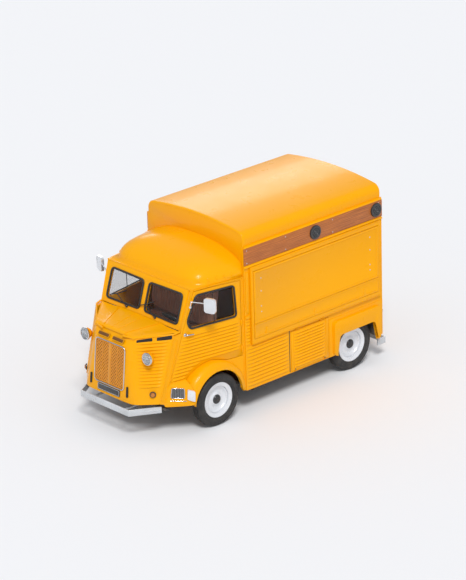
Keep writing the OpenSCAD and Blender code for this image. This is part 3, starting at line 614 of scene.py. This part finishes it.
for side, name in SIDES:
    tube("bonnet_shut_bead_" + name, sided(side, SHUT_BEAD), 0.013, body_paint)
    tube("nose_seam_" + name, sided(side, ((0.7298, -1.801, 0.492), (0.7715, -1.551, 1.385))), 0.008,
         body_paint)
bonnet_lid = pressed_sheet("bonnet_lid", bonnet_point, 14, 9, 2, 0.006, 60, body="bonnet")
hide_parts("bonnet")
for side, name in SIDES:
    tube("bonnet_crease_" + name, sided(side, ((0.215, -1.9, 1.3765), (0.40, -1.475, 1.4335))), 0.0045,
         body_paint, body="bonnet")
    tube("bonnet_rib_" + name, sided(side, ((0.06, -1.9, 1.3775), (0.085, -1.475, 1.4335))), 0.003,
         body_paint, body="bonnet")

# ---- Headlamps and turn lamps ----
# Chromed rims and clear lenses on painted steel buckets, each on an arm from the nose. The small amber
# turn lamps below are moulded glass in black seats.
BUCKET_RING = [(0.0, 0.094), (0.024, 0.09), (0.05, 0.074), (0.07, 0.046), (0.081, 0.01), (0.083, -0.012),
               (0.078, -0.012), (0.07, 0.012), (0.03, 0.03), (0.0, 0.034)]
LAMP_RIM_RING = [(0.088, 0.004), (0.09, -0.006), (0.087, -0.016), (0.08, -0.021), (0.073, -0.019),
                 (0.07, -0.012), (0.074, -0.006), (0.082, 0.002)]
REFLECTOR_RING = [(0.072, -0.012), (0.062, 0.006), (0.04, 0.02), (0.0, 0.026), (0.0, 0.022),
                  (0.038, 0.016), (0.058, 0.003), (0.068, -0.012)]
LENS_RING = [(0.072, -0.014), (0.06, -0.022), (0.035, -0.028), (0.0, -0.03), (0.0, -0.027),
             (0.034, -0.025), (0.058, -0.019), (0.07, -0.012)]
BULB_RING = [(0.0, -0.008), (0.01, -0.004), (0.012, 0.006), (0.008, 0.02), (0.0, 0.022)]
TURN_SEAT_RING = [(0.042, -0.004), (0.043, 0.006), (0.038, 0.012), (0.032, 0.012), (0.03, 0.002)]
TURN_LAMP_RING = [(0.031, 0.004), (0.03, 0.018), (0.022, 0.026), (0.012, 0.023), (0.0, 0.022), (0.0, 0.004)]
LAMP_ARM = ((0.608, -1.85, 1.09), (0.603, -1.80, 1.07), (0.588, -1.765, 1.06))
BACKWARDS = (0, 1, 0)
lens_glass = surface("lens_glass", (0.85, 0.88, 0.9), (0.78, 0.8, 0.82), (0.03, 0.08), patch=30,
                     grain=90, depth=0.4, extra=[("Alpha", 0.16)])
lamp_silver = surface("lamp_silver", (0.62, 0.63, 0.65), (0.16, 0.165, 0.17), (0.08, 0.2),
                      metallic=0.9, patch=16, grain=90, depth=0.3)
amber = surface("amber", (0.55, 0.2, 0.01), (0.4, 0.12, 0.008), (0.1, 0.2), coat=0.6, patch=40,
                grain=120, depth=0.3)
for side, name in SIDES:
    lamp = (side * 0.615, -1.887, 1.118)
    bucket = turned("headlamp_bucket_" + name, BUCKET_RING, lamp, BACKWARDS, body_paint, 40)
    turned("headlamp_rim_" + name, LAMP_RIM_RING, lamp, BACKWARDS, chrome, 48)
    turned("headlamp_reflector_" + name, REFLECTOR_RING, lamp, BACKWARDS, lamp_silver, 40)
    turned("headlamp_lens_" + name, LENS_RING, lamp, BACKWARDS, lens_glass, 40)
    turned("headlamp_bulb_" + name, BULB_RING, lamp, BACKWARDS, bumper_paint, 20)
    tube("headlamp_arm_" + name, sided(side, LAMP_ARM), 0.014, body_paint)
    if side > 0:
        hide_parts("headlamps")
    turn = (side * 0.661, -1.857, 0.621)
    aim = (side * 0.7, -0.71, 0)
    turned("turn_lamp_seat_" + name, TURN_SEAT_RING, turn, aim, cap_black, 32)
    turned("turn_lamp_" + name, TURN_LAMP_RING, turn, aim, amber, 32)

# ---- Windscreen ----
# Two flat panes in thick black rubber, a painted post between them, and two wipers parked to one side.
# The glass is clear with a faint dark tint, and the rubber is matt.
SCREEN_LEAN = math.radians(17.35)
SCREEN_PANE = ((0.052, 1.493), (0.698, 1.486), (0.695, 1.87), (0.054, 1.86))
WIPER_X = 0.28
PIVOT_RING = [(0.0, 0.02), (0.01, 0.019), (0.015, 0.014), (0.016, 0.0), (0.0, 0.0)]
gasket_rubber = surface("gasket_rubber", (0.016, 0.016, 0.017), (0.03, 0.03, 0.03), (0.45, 0.65),
                        patch=20, grain=300, depth=0.1)
glass = surface("glass", (0.05, 0.06, 0.06), (0.03, 0.036, 0.036), (0.01, 0.05), patch=6, grain=40,
                depth=0.01, extra=[("Alpha", 0.13)])
dress(["windscreen_glass", "door_glass_left", "door_glass_right"], glass)


def screen_point(x, z, out=0.0):
    y = -1.45 + (z - 1.42) * math.tan(SCREEN_LEAN)
    return Vector((x, y - out * math.cos(SCREEN_LEAN), z + out * math.sin(SCREEN_LEAN)))


for side, name in SIDES:
    pane = rounded([screen_point(side * x, z, 0.002) for x, z in SCREEN_PANE], 0.055, 8)
    tube("screen_gasket_" + name, pane, 0.0145, gasket_rubber, True)
    pivot_x = side * WIPER_X
    pivot = screen_point(pivot_x, 1.464, 0.002)
    tip = screen_point(pivot_x - 0.19, 1.585, 0.03)
    blade = [screen_point(pivot_x - 0.33, 1.535, 0.024), tip, screen_point(pivot_x - 0.05, 1.655, 0.024)]
    turned("wiper_pivot_" + name, PIVOT_RING, pivot, (0, -0.9, 0.35), cap_black, 20)
    tube("wiper_arm_" + name, [pivot + Vector((0, -0.016, 0.007)), tip + Vector((0, -0.012, 0))], 0.006,
         gasket_rubber)
    tube("wiper_blade_" + name, blade, 0.0075, gasket_rubber)

# ---- Cab sides and doors ----
# Rear-hinged doors of double sheet with rolled ribs below the window, a chromed pull handle and
# lift-off hinges. The windows sit in black rubber, and a seam, a bead and a gutter frame each door.
TOE = math.radians(9.5)
SIDE_OUT = Vector((math.cos(TOE), -math.sin(TOE), 0))
UPWARD = (0, 0, 1)
SCREEN_SLOPE = 0.325
WING_RADIUS = 0.585
DOOR_RIB_COLUMNS = 14
DOOR_RIB_ROWS = 56
DOOR_WINDOW = ((-0.603, 1.42), (-0.632, 1.858), (-1.21, 1.862), (-1.352, 1.53), (-1.31, 1.42))
DOOR_HINGE_RING = [(0.0, 0.045), (0.009, 0.044), (0.0115, 0.04), (0.0115, 0.002), (0.0095, 0.0),
                   (0.0115, -0.002), (0.0115, -0.04), (0.009, -0.044), (0.0, -0.045)]
ROSE_RING = [(0.0, 0.012), (0.014, 0.011), (0.022, 0.006), (0.025, 0.0), (0.0, 0.0)]


def side_point(y, z, out=0.0):
    return Vector((0.95 + (y + 0.485) * math.tan(TOE), y, z)) + SIDE_OUT * out


def wing_front(z):
    lift = z - AXLE_Z
    if abs(lift) >= WING_RADIUS:
        return FRONT_AXLE_Y
    return FRONT_AXLE_Y - math.sqrt(WING_RADIUS ** 2 - lift ** 2)


def door_rib_point(column, row):
    z = 0.70 + row * 0.01175
    front = max(-1.395 + (z - 1.42) * SCREEN_SLOPE, -1.595)
    rear = -0.548 if z > 0.94 else wing_front(z)
    y = front + (rear - front) * column / DOOR_RIB_COLUMNS
    raised = row % 4 in (1, 2) and 0 < column < DOOR_RIB_COLUMNS
    return side_point(y, z, 0.017 if raised else -0.001)


def mirrored(piece, name, body="truck_body"):
    twin = add_object(name, piece.data.copy())
    twin.data.transform(Matrix.Scale(-1, 4, (1, 0, 0)))
    twin.data.flip_normals()
    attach(twin, body)
    return twin


def side_tubes(name, points, radius, material, on_door=False, closed=False):
    bodies = ("cab_door_left", "cab_door_right") if on_door else ("truck_body", "truck_body")
    left = tube(name + "_left", points, radius, material, closed, body=bodies[0])
    mirrored(left, name + "_right", bodies[1])


def on_side(*spots):
    return [side_point(*spot) for spot in spots]


door_ribs = pressed_sheet("door_ribs_left", door_rib_point, DOOR_RIB_COLUMNS, DOOR_RIB_ROWS, 1,
                          body="cab_door_left")
mirrored(door_ribs, "door_ribs_right", "cab_door_right")
window = rounded([side_point(y, z, 0.002) for y, z in DOOR_WINDOW], 0.05, 6)
side_tubes("door_gasket", window, 0.0135, gasket_rubber, True, True)
side_tubes("cab_front_seam", on_side((-1.725, 0.47, 0.001), (-1.585, 0.98, 0.001), (-1.498, 1.30, 0.001)),
           0.007, body_paint)
side_tubes("door_pane_bar", on_side((-0.93, 1.424, -0.012), (-0.945, 1.86, -0.012)), 0.005, gasket_rubber,
           True)
side_tubes("door_handle", on_side((-1.385, 1.352, 0.0), (-1.383, 1.356, 0.03), (-1.36, 1.358, 0.038),
                                  (-1.29, 1.352, 0.036), (-1.275, 1.346, 0.028)), 0.0095, chrome, True)
rose = turned("door_handle_rose_left", ROSE_RING, side_point(-1.385, 1.352), SIDE_OUT, chrome, 24,
              body="cab_door_left")
mirrored(rose, "door_handle_rose_right", "cab_door_right")
for z, place in ((1.304, "130"), (0.94, "94")):
    hinge = turned("door_hinge_left_" + place, DOOR_HINGE_RING, side_point(-0.53, z, 0.001), UPWARD,
                   body_paint, 20)
    mirrored(hinge, "door_hinge_right_" + place)
side_tubes("door_gutter", on_side((-0.50, 1.936, 0.004), (-1.0, 1.94, 0.004), (-1.235, 1.934, 0.004)), 0.007,
           body_paint)
side_tubes("pillar_bead", on_side((-0.505, 1.93, 0.002), (-0.505, 0.40, 0.002)), 0.006, body_paint)

# ---- Cab roof vents ----
# Five small louvres on each side of the cab roof, above the door, let warm air out. They follow the
# roof's curve and are painted with it.
for count in range(5):
    above_door = Vector((1.3, -1.10 + count * 0.115, 2.015))
    hit, spot, facing = cab_roof.ray_cast(above_door, Vector((-1, 0, 0)))[:3]
    if hit:
        along = Vector((0, 1, 0)) - facing * facing.y
        rise = facing.cross(along)
        louvre = [spot + along * a + rise * b - facing * 0.004
                  for a, b in rectangle(-0.011, 0.011, -0.02, 0.02)]
        slot = plate("roof_louvre_left_" + str(count), rounded(louvre, 0.008, 3), facing * 0.011, body_paint,
                     0.002)
        mirrored(slot, "roof_louvre_right_" + str(count))

# ---- Front wing cheeks ----
# The foot of each front wing is a separate pressing that closes it forwards to the cab side. It carries
# a grey step plate in a chromed frame, a tread strip and a white marker lamp.
CHEEK = ((0.425, ((0.735, -1.735), (0.80, -1.66), (0.865, -1.58), (0.93, -1.49), (0.978, -1.4045))),
         (0.495, ((0.738, -1.735), (0.806, -1.668), (0.873, -1.588), (0.937, -1.50), (0.986, -1.4045))),
         (0.52, ((0.742, -1.705), (0.792, -1.655), (0.857, -1.585), (0.92, -1.505), (0.983, -1.4045))),
         (0.60, ((0.745, -1.70), (0.79, -1.65), (0.852, -1.58), (0.91, -1.50), (0.966, -1.4045))),
         (0.66, ((0.746, -1.695), (0.786, -1.645), (0.843, -1.57), (0.893, -1.49), (0.93, -1.4045))),
         (0.70, ((0.748, -1.68), (0.776, -1.63), (0.815, -1.55), (0.845, -1.47), (0.862, -1.4045))),
         (0.745, ((0.74, -1.66), (0.752, -1.60), (0.765, -1.53), (0.775, -1.46), (0.785, -1.4045))))
STEP_CORNERS = ((0.800, -1.652, 0.686), (0.902, -1.522, 0.672), (0.908, -1.528, 0.54), (0.792, -1.664, 0.552))
STEP_STRIP = ((0.79, -1.676, 0.514), (0.862, -1.604, 0.508), (0.93, -1.51, 0.50))
STEP_BARS = 8
MARKER = ((0.93, -1.492, 0.66), (0.985, -1.412, 0.628), (0.975, -1.408, 0.478), (0.915, -1.492, 0.52))
step_grey = surface("step_grey", (0.23, 0.235, 0.24), (0.16, 0.162, 0.165), (0.3, 0.5), metallic=0.7,
                    patch=30, grain=220, depth=0.3)


def cheek_point(column, row):
    level, plan = CHEEK[row]
    reach = column / 2
    first = min(int(reach), 3)
    x, y = Vector(plan[first]).lerp(Vector(plan[first + 1]), reach - first)
    return Vector((x, y, level))


cheek = pressed_sheet("wing_cheek_left", cheek_point, 8, 6, 2, 0.008, 60)
mirrored(cheek, "wing_cheek_right")
for side, name in SIDES:
    corners = sided(side, STEP_CORNERS)
    outward = Vector((side * 0.77, -0.62, 0.08))
    plate("step_mesh_" + name, rounded(shifted(corners, outward * -0.014), 0.02), outward * 0.018, step_grey,
          0.003)
    tube("step_frame_" + name, shifted(rounded(corners, 0.022), outward * 0.004), 0.005, chrome, True)
    for count in range(1, STEP_BARS):
        t = count / STEP_BARS
        bar = [corners[0].lerp(corners[1], t), corners[3].lerp(corners[2], t)]
        tube("step_bar_" + name + "_" + str(count), shifted(bar, outward * 0.006), 0.003, shadow_gap, sides=1)
    tube("step_strip_" + name, sided(side, STEP_STRIP), 0.0045, chrome)
    marker_out = Vector((side * 0.83, -0.55, 0.05))
    marker = shifted(sided(side, MARKER), marker_out * -0.01)
    plate("marker_lamp_" + name, rounded(marker, 0.02), marker_out * 0.042, wheel_paint, 0.006)

# ---- Front links ----
# One bent tube on each side runs from the chassis rail out behind the bumper's end and back to the
# rail. Both are painted with the underbody.
LINK_ROUTE = ((0.365, -1.70, 0.40), (0.50, -1.76, 0.42), (0.70, -1.69, 0.375), (0.66, -1.60, 0.35),
              (0.42, -1.45, 0.36))
for side, name in SIDES:
    tube("front_link_" + name, sided(side, LINK_ROUTE), 0.028, underbody_paint)

# ---- Load space walls ----
# Flat sheet on a folded frame, with horizontal ribs rolled into the low panels. A drip moulding runs
# above the boards and a ledge below them, and a pipe runs under the left sill.
WALL_X = 0.964
RIB_FOOT = 0.372
RIB_TOP = 0.945
SHORT_BOARD_Y = -0.433
LEDGE = ((0.962, -0.484, 2.052), (0.985, -0.484, 2.056), (0.985, -0.484, 2.07), (0.962, -0.484, 2.092))
MOULDING = ((0.930, -0.45, 2.329), (0.976, -0.484, 2.329), (0.978, -0.484, 2.338), (0.930, -0.45, 2.352))
SILL_PIPE = [(0.80, -0.36, 0.33), (0.885, -0.30, 0.312), (0.90, 0.0, 0.308), (0.89, 0.22, 0.312),
             (0.80, 0.28, 0.33)]


def wall_point(y, z, out=0.0):
    return Vector((WALL_X + out, y, z))


def wall_rectangle(y0, y1, z0, z1, out=-0.002):
    return [wall_point(y, z, out) for y, z in rectangle(y0, y1, z0, z1)]


def wall_ribs(name, y0, y1, z0, z1, ribs, out=0.0, deep=0.018, body="truck_body"):
    rows = 4 * ribs

    def place(column, row):
        raised = row % 4 in (1, 2) and 0 < column < 12
        return wall_point(y0 + (y1 - y0) * column / 12, z0 + (z1 - z0) * row / rows,
                          out + (deep if raised else -0.001))

    return pressed_sheet(name, place, 12, rows, 1, body=body)


ribs_front = wall_ribs("wall_ribs_front", -0.468, 0.292, RIB_FOOT, RIB_TOP, 11)
mirrored(ribs_front, "wall_ribs_front_right")
ribs_middle = wall_ribs("wall_ribs_middle", 0.32, 1.03, RIB_FOOT, RIB_TOP, 11)
mirrored(ribs_middle, "wall_ribs_middle_right")
bpy.data.objects.remove(ribs_middle)
wall_ribs("wall_ribs_pillar", -0.468, -0.398, 0.965, 1.335, 8, deep=0.012)
wall_ribs("locker_ribs", 0.375, 0.962, 0.385, 0.905, 12, 0.006, body="locker_door")
tube("sill_pipe", SILL_PIPE, 0.028, underbody_paint)
plate("wall_joint", wall_rectangle(0.298, 0.311, 0.335, 0.95), (0.003, 0, 0), shadow_gap)
plate("pillar_pressing", rounded(wall_rectangle(-0.462, -0.408, 1.417, 2.0), 0.026), (0.012, 0, 0),
      body_paint, 0.006)
plate("pillar_hinge_leaf", rounded(wall_rectangle(-0.475, -0.395, 1.34, 1.385), 0.008), (0.016, 0, 0),
      body_paint, 0.004)
tube("wall_bead_335", [wall_point(-0.475, 0.335), wall_point(1.03, 0.335)], 0.006, body_paint)
tube("wall_bead_955", [wall_point(-0.475, 0.955), wall_point(1.03, 0.955)], 0.005, body_paint)
for name, profile, length, edge in (("board_ledge", LEDGE, 2.535, 0.004),
                                    ("drip_moulding", MOULDING, 2.53, 0.003)):
    strip = plate(name, profile, (0, length, 0), body_paint, edge)
    for vertex in mirrored(strip, name + "_right").data.vertices:
        vertex.co.y = max(vertex.co.y, SHORT_BOARD_Y)

# ---- Fascia boards ----
# Oiled hardwood boards screwed to the walls under the roof, and two round black loudspeakers on the
# serving side.
SPEAKER_RING = [(0.0, 0.016), (0.012, 0.018), (0.024, 0.017), (0.028, 0.011), (0.036, 0.012), (0.04, 0.018),
                (0.05, 0.019), (0.054, 0.012), (0.064, 0.013), (0.068, 0.02), (0.082, 0.022), (0.094, 0.018),
                (0.098, 0.008), (0.098, -0.001), (0.0, -0.001)]
SCREW_RING = [(0.0, 0.004), (0.004, 0.0042), (0.0075, 0.0015), (0.0075, -0.002), (0.0, -0.002)]
BOARD_OUT = 0.012
OUTWARD = (1, 0, 0)
board_wood = surface("board_wood", (0.64, 0.20, 0.036), (0.46, 0.125, 0.02), (0.45, 0.6), coat=0.06,
                     patch=3.0, grain=60, depth=0.12, streak=(1.0, 1.1, 26.0))
wood_tree = board_wood.node_tree
wood_colour = wood_tree.nodes["Principled BSDF"].inputs["Base Color"]
growth = wood_tree.nodes.new("ShaderNodeTexWave")
growth.bands_direction = "Z"
for label, amount in (("Scale", 2.6), ("Distortion", 7.0), ("Detail", 4.0), ("Detail Scale", 1.6)):
    growth.inputs[label].default_value = amount
wood_place = wood_tree.nodes.new("ShaderNodeMapping")
wood_place.inputs["Scale"].default_value = (1.0, 0.55, 7.0)
wood_tree.links.new(wood_tree.nodes["Texture Coordinate"].outputs["Object"], wood_place.inputs["Vector"])
wood_tree.links.new(wood_place.outputs["Vector"], growth.inputs["Vector"])
rings = wood_tree.nodes.new("ShaderNodeMix")
rings.data_type = "RGBA"
rings.blend_type = "MULTIPLY"
rings.inputs["Factor"].default_value = 0.42
wood_tree.links.new(wood_colour.links[0].from_socket, rings.inputs["A"])
wood_tree.links.new(growth.outputs["Color"], rings.inputs["B"])
wood_tree.links.new(rings.outputs["Result"], wood_colour)
pressed_copy("fascia_boards", board_wood, 0.003)
for count, (y, z) in enumerate([(y, z) for y in (-0.436, 0.262, 1.124, 1.985) for z in (2.122, 2.296)]):
    screw = turned("board_screw_" + str(count), SCREW_RING, wall_point(y, z, BOARD_OUT), OUTWARD,
                   bumper_paint, 12)
    if y > SHORT_BOARD_Y:
        mirrored(screw, "board_screw_right_" + str(count))
for count, y in enumerate((0.80, 1.935)):
    turned("loudspeaker_" + str(count), SPEAKER_RING, wall_point(y, 2.211, BOARD_OUT), OUTWARD, cap_black, 56)

# ---- Serving hatch, counter and locker ----
# Sheet leaves on a box frame: the tall one lifts, the low one folds down as a counter with three
# brackets, and the locker lid below lifts. Beads stiffen their edges.
RIVET_RING = [(0.0, 0.004), (0.005, 0.0035), (0.009, 0.0), (0.0, 0.0)]
KNOB_RING = [(0.0, 0.012), (0.006, 0.011), (0.009, 0.006), (0.009, -0.001), (0.0, -0.001)]
LOCKER_HINGE_RING = [(0.0, 0.04), (0.008, 0.039), (0.01, 0.035), (0.01, -0.035), (0.008, -0.039),
                     (0.0, -0.04)]
tube("hatch_bar", [wall_point(y, 1.253, 0.0355) for y in (-0.334, 1.905)], 0.0085, body_paint,
     body="serving_hatch")
tube("hatch_bead", wall_rectangle(-0.312, 1.892, 1.285, 1.948, 0.031), 0.005, body_paint, True,
     body="serving_hatch")
tube("counter_bead", [wall_point(y, 1.062, 0.036) for y in (-0.325, 1.898)], 0.0045, body_paint,
     body="counter_flap")
tube("frame_bead", wall_rectangle(-0.38, 1.98, 0.972, 2.04, 0.034), 0.004, body_paint, True)
for count, y in enumerate((-0.125, 0.755, 1.675)):
    bracket = wall_rectangle(y - 0.02, y + 0.02, 1.045, 1.145, 0.030)
    plate("counter_bracket_" + str(count), rounded(bracket, 0.008), (0.0095, 0, 0), body_paint, 0.002,
          body="counter_flap")
for count, (y, z) in enumerate([(y, z) for y in (-0.215, 1.794) for z in (1.863, 1.68, 1.468, 1.39)]):
    turned("hatch_rivet_" + str(count), RIVET_RING, wall_point(y, z, 0.034), OUTWARD, bumper_paint, 10,
           body="serving_hatch")
tube("locker_bead", wall_rectangle(0.375, 0.975, 0.40, 0.912, 0.006), 0.006, body_paint, True,
     body="locker_door")
for count, y in enumerate((0.39, 0.935)):
    latch = wall_rectangle(y - 0.014, y + 0.014, 0.352, 0.39, 0.004)
    plate("locker_latch_" + str(count), rounded(latch, 0.006), (0.012, 0, 0), body_paint, 0.003,
          body="locker_door")
    turned("locker_latch_knob_" + str(count), KNOB_RING, wall_point(y, 0.371, 0.016), OUTWARD, cap_black, 14,
           body="locker_door")
for count, y in enumerate((0.45, 0.9)):
    turned("locker_hinge_" + str(count), LOCKER_HINGE_RING, wall_point(y, 0.938, 0.010), BACKWARDS,
           body_paint, 14)

# ---- Rear ----
# Two tall side-hinged doors on four hinges a side, with black window panes, a pull handle and ribs like
# the walls, round tail lamps in chromed bezels and a blank plate.
REAR_HINGE_RING = [(0.0, 0.04), (0.01, 0.039), (0.013, 0.034), (0.013, -0.034), (0.01, -0.039), (0.0, -0.04)]
TAIL_SEAT_RING = [(0.036, -0.002), (0.037, 0.012), (0.033, 0.018), (0.028, 0.016), (0.027, 0.0)]
TAIL_LAMP_RING = [(0.0, 0.024), (0.014, 0.023), (0.024, 0.017), (0.028, 0.01), (0.028, 0.0), (0.0, 0.0)]
tail_red = surface("tail_red", (0.45, 0.01, 0.008), (0.33, 0.006, 0.005), (0.1, 0.2), coat=0.6,
                   patch=30, grain=110, depth=0.3)


def rear_rectangle(x0, x1, y, z0, z1):
    return [Vector((x, y, z)) for x, z in rectangle(x0, x1, z0, z1)]


def rear_ribs(side, name, door):
    def place(column, row):
        out = 0.022 if row % 2 == 1 and 0 < column < 10 else -0.001
        return Vector((side * (0.06 + 0.75 * column / 10), 2.059 + out, 0.53 + 0.5 * row / 24))

    ribs = pressed_sheet("rear_ribs_" + name, place, 10, 24, body=door)
    if side > 0:
        ribs.data.flip_normals()


for side, name in SIDES:
    door = "rear_door_" + name
    rear_ribs(side, name, door)
    gasket = rounded(rear_rectangle(side * 0.12, side * 0.70, 2.06, 1.42, 1.95), 0.06, 6)
    tube("rear_window_gasket_" + name, gasket, 0.013, gasket_rubber, True, body=door)
    plate("rear_window_" + name, shifted(gasket, (0, -0.005, 0)), (0, 0.006, 0), cap_black, body=door)
    for z, place in ((2.36, "238"), (2.03, "204"), (1.37, "139"), (0.98, "100")):
        turned("rear_hinge_" + name + "_" + place, REAR_HINGE_RING, (side * 0.885, 2.060, z), UPWARD,
               body_paint, 16)
    lamp = (side * 0.925, 2.055, 0.70)
    turned("tail_lamp_seat_" + name, TAIL_SEAT_RING, lamp, BACKWARDS, chrome, 28)
    turned("tail_lamp_" + name, TAIL_LAMP_RING, lamp, BACKWARDS, tail_red, 28)
tube("rear_handle", [(0.07, 2.06, 1.14), (0.07, 2.092, 1.16), (0.07, 2.092, 1.30), (0.07, 2.06, 1.32)], 0.009,
     chrome, body="rear_door_left")
plate("rear_meeting_strip", rear_rectangle(-0.016, 0.004, 2.059, 0.46, 2.32), (0, 0.007, 0), body_paint,
      0.003, body="rear_door_right")
plate("rear_plate", rounded(rear_rectangle(-0.62, -0.18, 2.058, 0.44, 0.52), 0.012), (0, 0.008, 0), cap_black,
      0.003, body="rear_door_right")

# ---- Mirrors ----
# Pressed heads on tube arms, clamped to the doors. Head and arm are finished in one bright silver, so
# the glass is not set off from its back.
mirror_silver = surface("mirror_silver", (0.78, 0.8, 0.83), (0.7, 0.72, 0.75), (0.12, 0.25),
                        metallic=0.55, coat=0.4, patch=8)
for side, name in reversed(SIDES):
    pressed_copy("mirror_" + name, mirror_silver, 0.009, 50, "cab_door_" + name)

# ---- Dashboard and steering wheel ----
# A painted steel dashboard with a black roll along its top edge and one round dial, and a black moulded
# steering wheel with a chromed horn button.
DIAL = (0.40, -1.327, 1.305)
DIAL_RING = [(0.0, 0.012), (0.05, 0.012), (0.056, 0.018), (0.062, 0.014), (0.062, -0.002), (0.0, -0.002)]
DIAL_FACE_RING = [(0.0, 0.0135), (0.049, 0.0135), (0.049, 0.0125), (0.0, 0.0125)]
HORN_RING = [(0.0, 0.02), (0.012, 0.019), (0.02, 0.013), (0.024, 0.009), (0.0, 0.009)]
COLUMN_LEAN = math.radians(38)
dash_grey = surface("dash_grey", (0.30, 0.25, 0.20), (0.24, 0.20, 0.16), (0.4, 0.6), patch=10,
                    grain=300, depth=0.1)
moulding_black = surface("moulding_black", (0.012, 0.012, 0.013), (0.02, 0.02, 0.02), (0.25, 0.4),
                         coat=0.2, patch=20, grain=200, depth=0.05)
pressed_copy("dashboard", dash_grey, 0.008)
pressed_copy("steering_wheel", moulding_black, 0, 50, "steering_wheel")
tube("dash_roll", [(-0.74, -1.329, 1.372), (0.74, -1.329, 1.372)], 0.014, cap_black)
turned("speedometer", DIAL_RING, DIAL, BACKWARDS, cap_black, 36)
turned("speedometer_face", DIAL_FACE_RING, DIAL, BACKWARDS, bumper_paint, 36)
turned("horn_button", HORN_RING, (0.40, -1.177, 1.385), (0, math.sin(COLUMN_LEAN), math.cos(COLUMN_LEAN)),
       chrome, 28, body="steering_wheel")

# ---- Seat ----
# A full-width bench: two foam pads in brown leather on the painted seat box, each sewn into upright
# channels and crowned between its edges.
CHANNELS = 22
CROWN = 0.008
GROOVE = 0.012
SIDE_PULL = 0.012
# The leather colour is painted light: lighter than the real brown, to make up for the shade inside the cab.
leather_painted_light = surface("seat_leather", (0.60, 0.31, 0.21), (0.48, 0.24, 0.16), (0.38, 0.55), patch=7,
                  grain=230, depth=0.35, extra=[("Sheen Weight", 0.15)])


def channelled_pad(name, corner_low, corner_high, tilt):
    clear()
    bpy.ops.mesh.primitive_cube_add(size=2)
    piece = bpy.context.object
    open_mesh()
    bpy.ops.mesh.subdivide(number_cuts=3)
    bpy.ops.object.mode_set(mode="OBJECT")
    low, high = Vector(corner_low), Vector(corner_high)
    middle = (low + high) / 2
    span = high - low
    for vertex in piece.data.vertices:
        vertex.co = [low[i] + span[i] * (vertex.co[i] + 1) / 2 for i in range(3)]
    modify(piece, "SUBSURF", levels=5, render_levels=5)
    thin, long_axis = (1, 2) if span.y < span.z else (2, 1)
    for vertex in piece.data.vertices:
        away = vertex.co - middle
        u = away.x / (span.x / 2)
        v = away[long_axis] / (span[long_axis] / 2)
        grow = CROWN * (1 - u ** 4) * (1 - v ** 4)
        if abs(v) < 0.86 and abs(u) < 0.97:
            grow -= GROOVE * abs(math.cos(math.pi * CHANNELS * (u + 1) / 2)) ** 18
        vertex.co[thin] += math.copysign(1, away[thin]) * grow
        vertex.co.x *= 1 - SIDE_PULL * (1 - v ** 2)
    turn = Matrix.Rotation(tilt, 4, "X")
    piece.data.transform(Matrix.Translation(middle) @ turn @ Matrix.Translation(-middle))
    return fit(piece, name, "truck_body", leather_painted_light, 60)


cushion = channelled_pad("seat_pad", (-0.606, -1.04, 1.016), (0.606, -0.645, 1.15), 0.0)
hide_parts("seat_cushion")
back = channelled_pad("seat_back_pad", (-0.606, -0.725, 1.175), (0.606, -0.615, 1.755), -0.13)
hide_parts("seat_back")
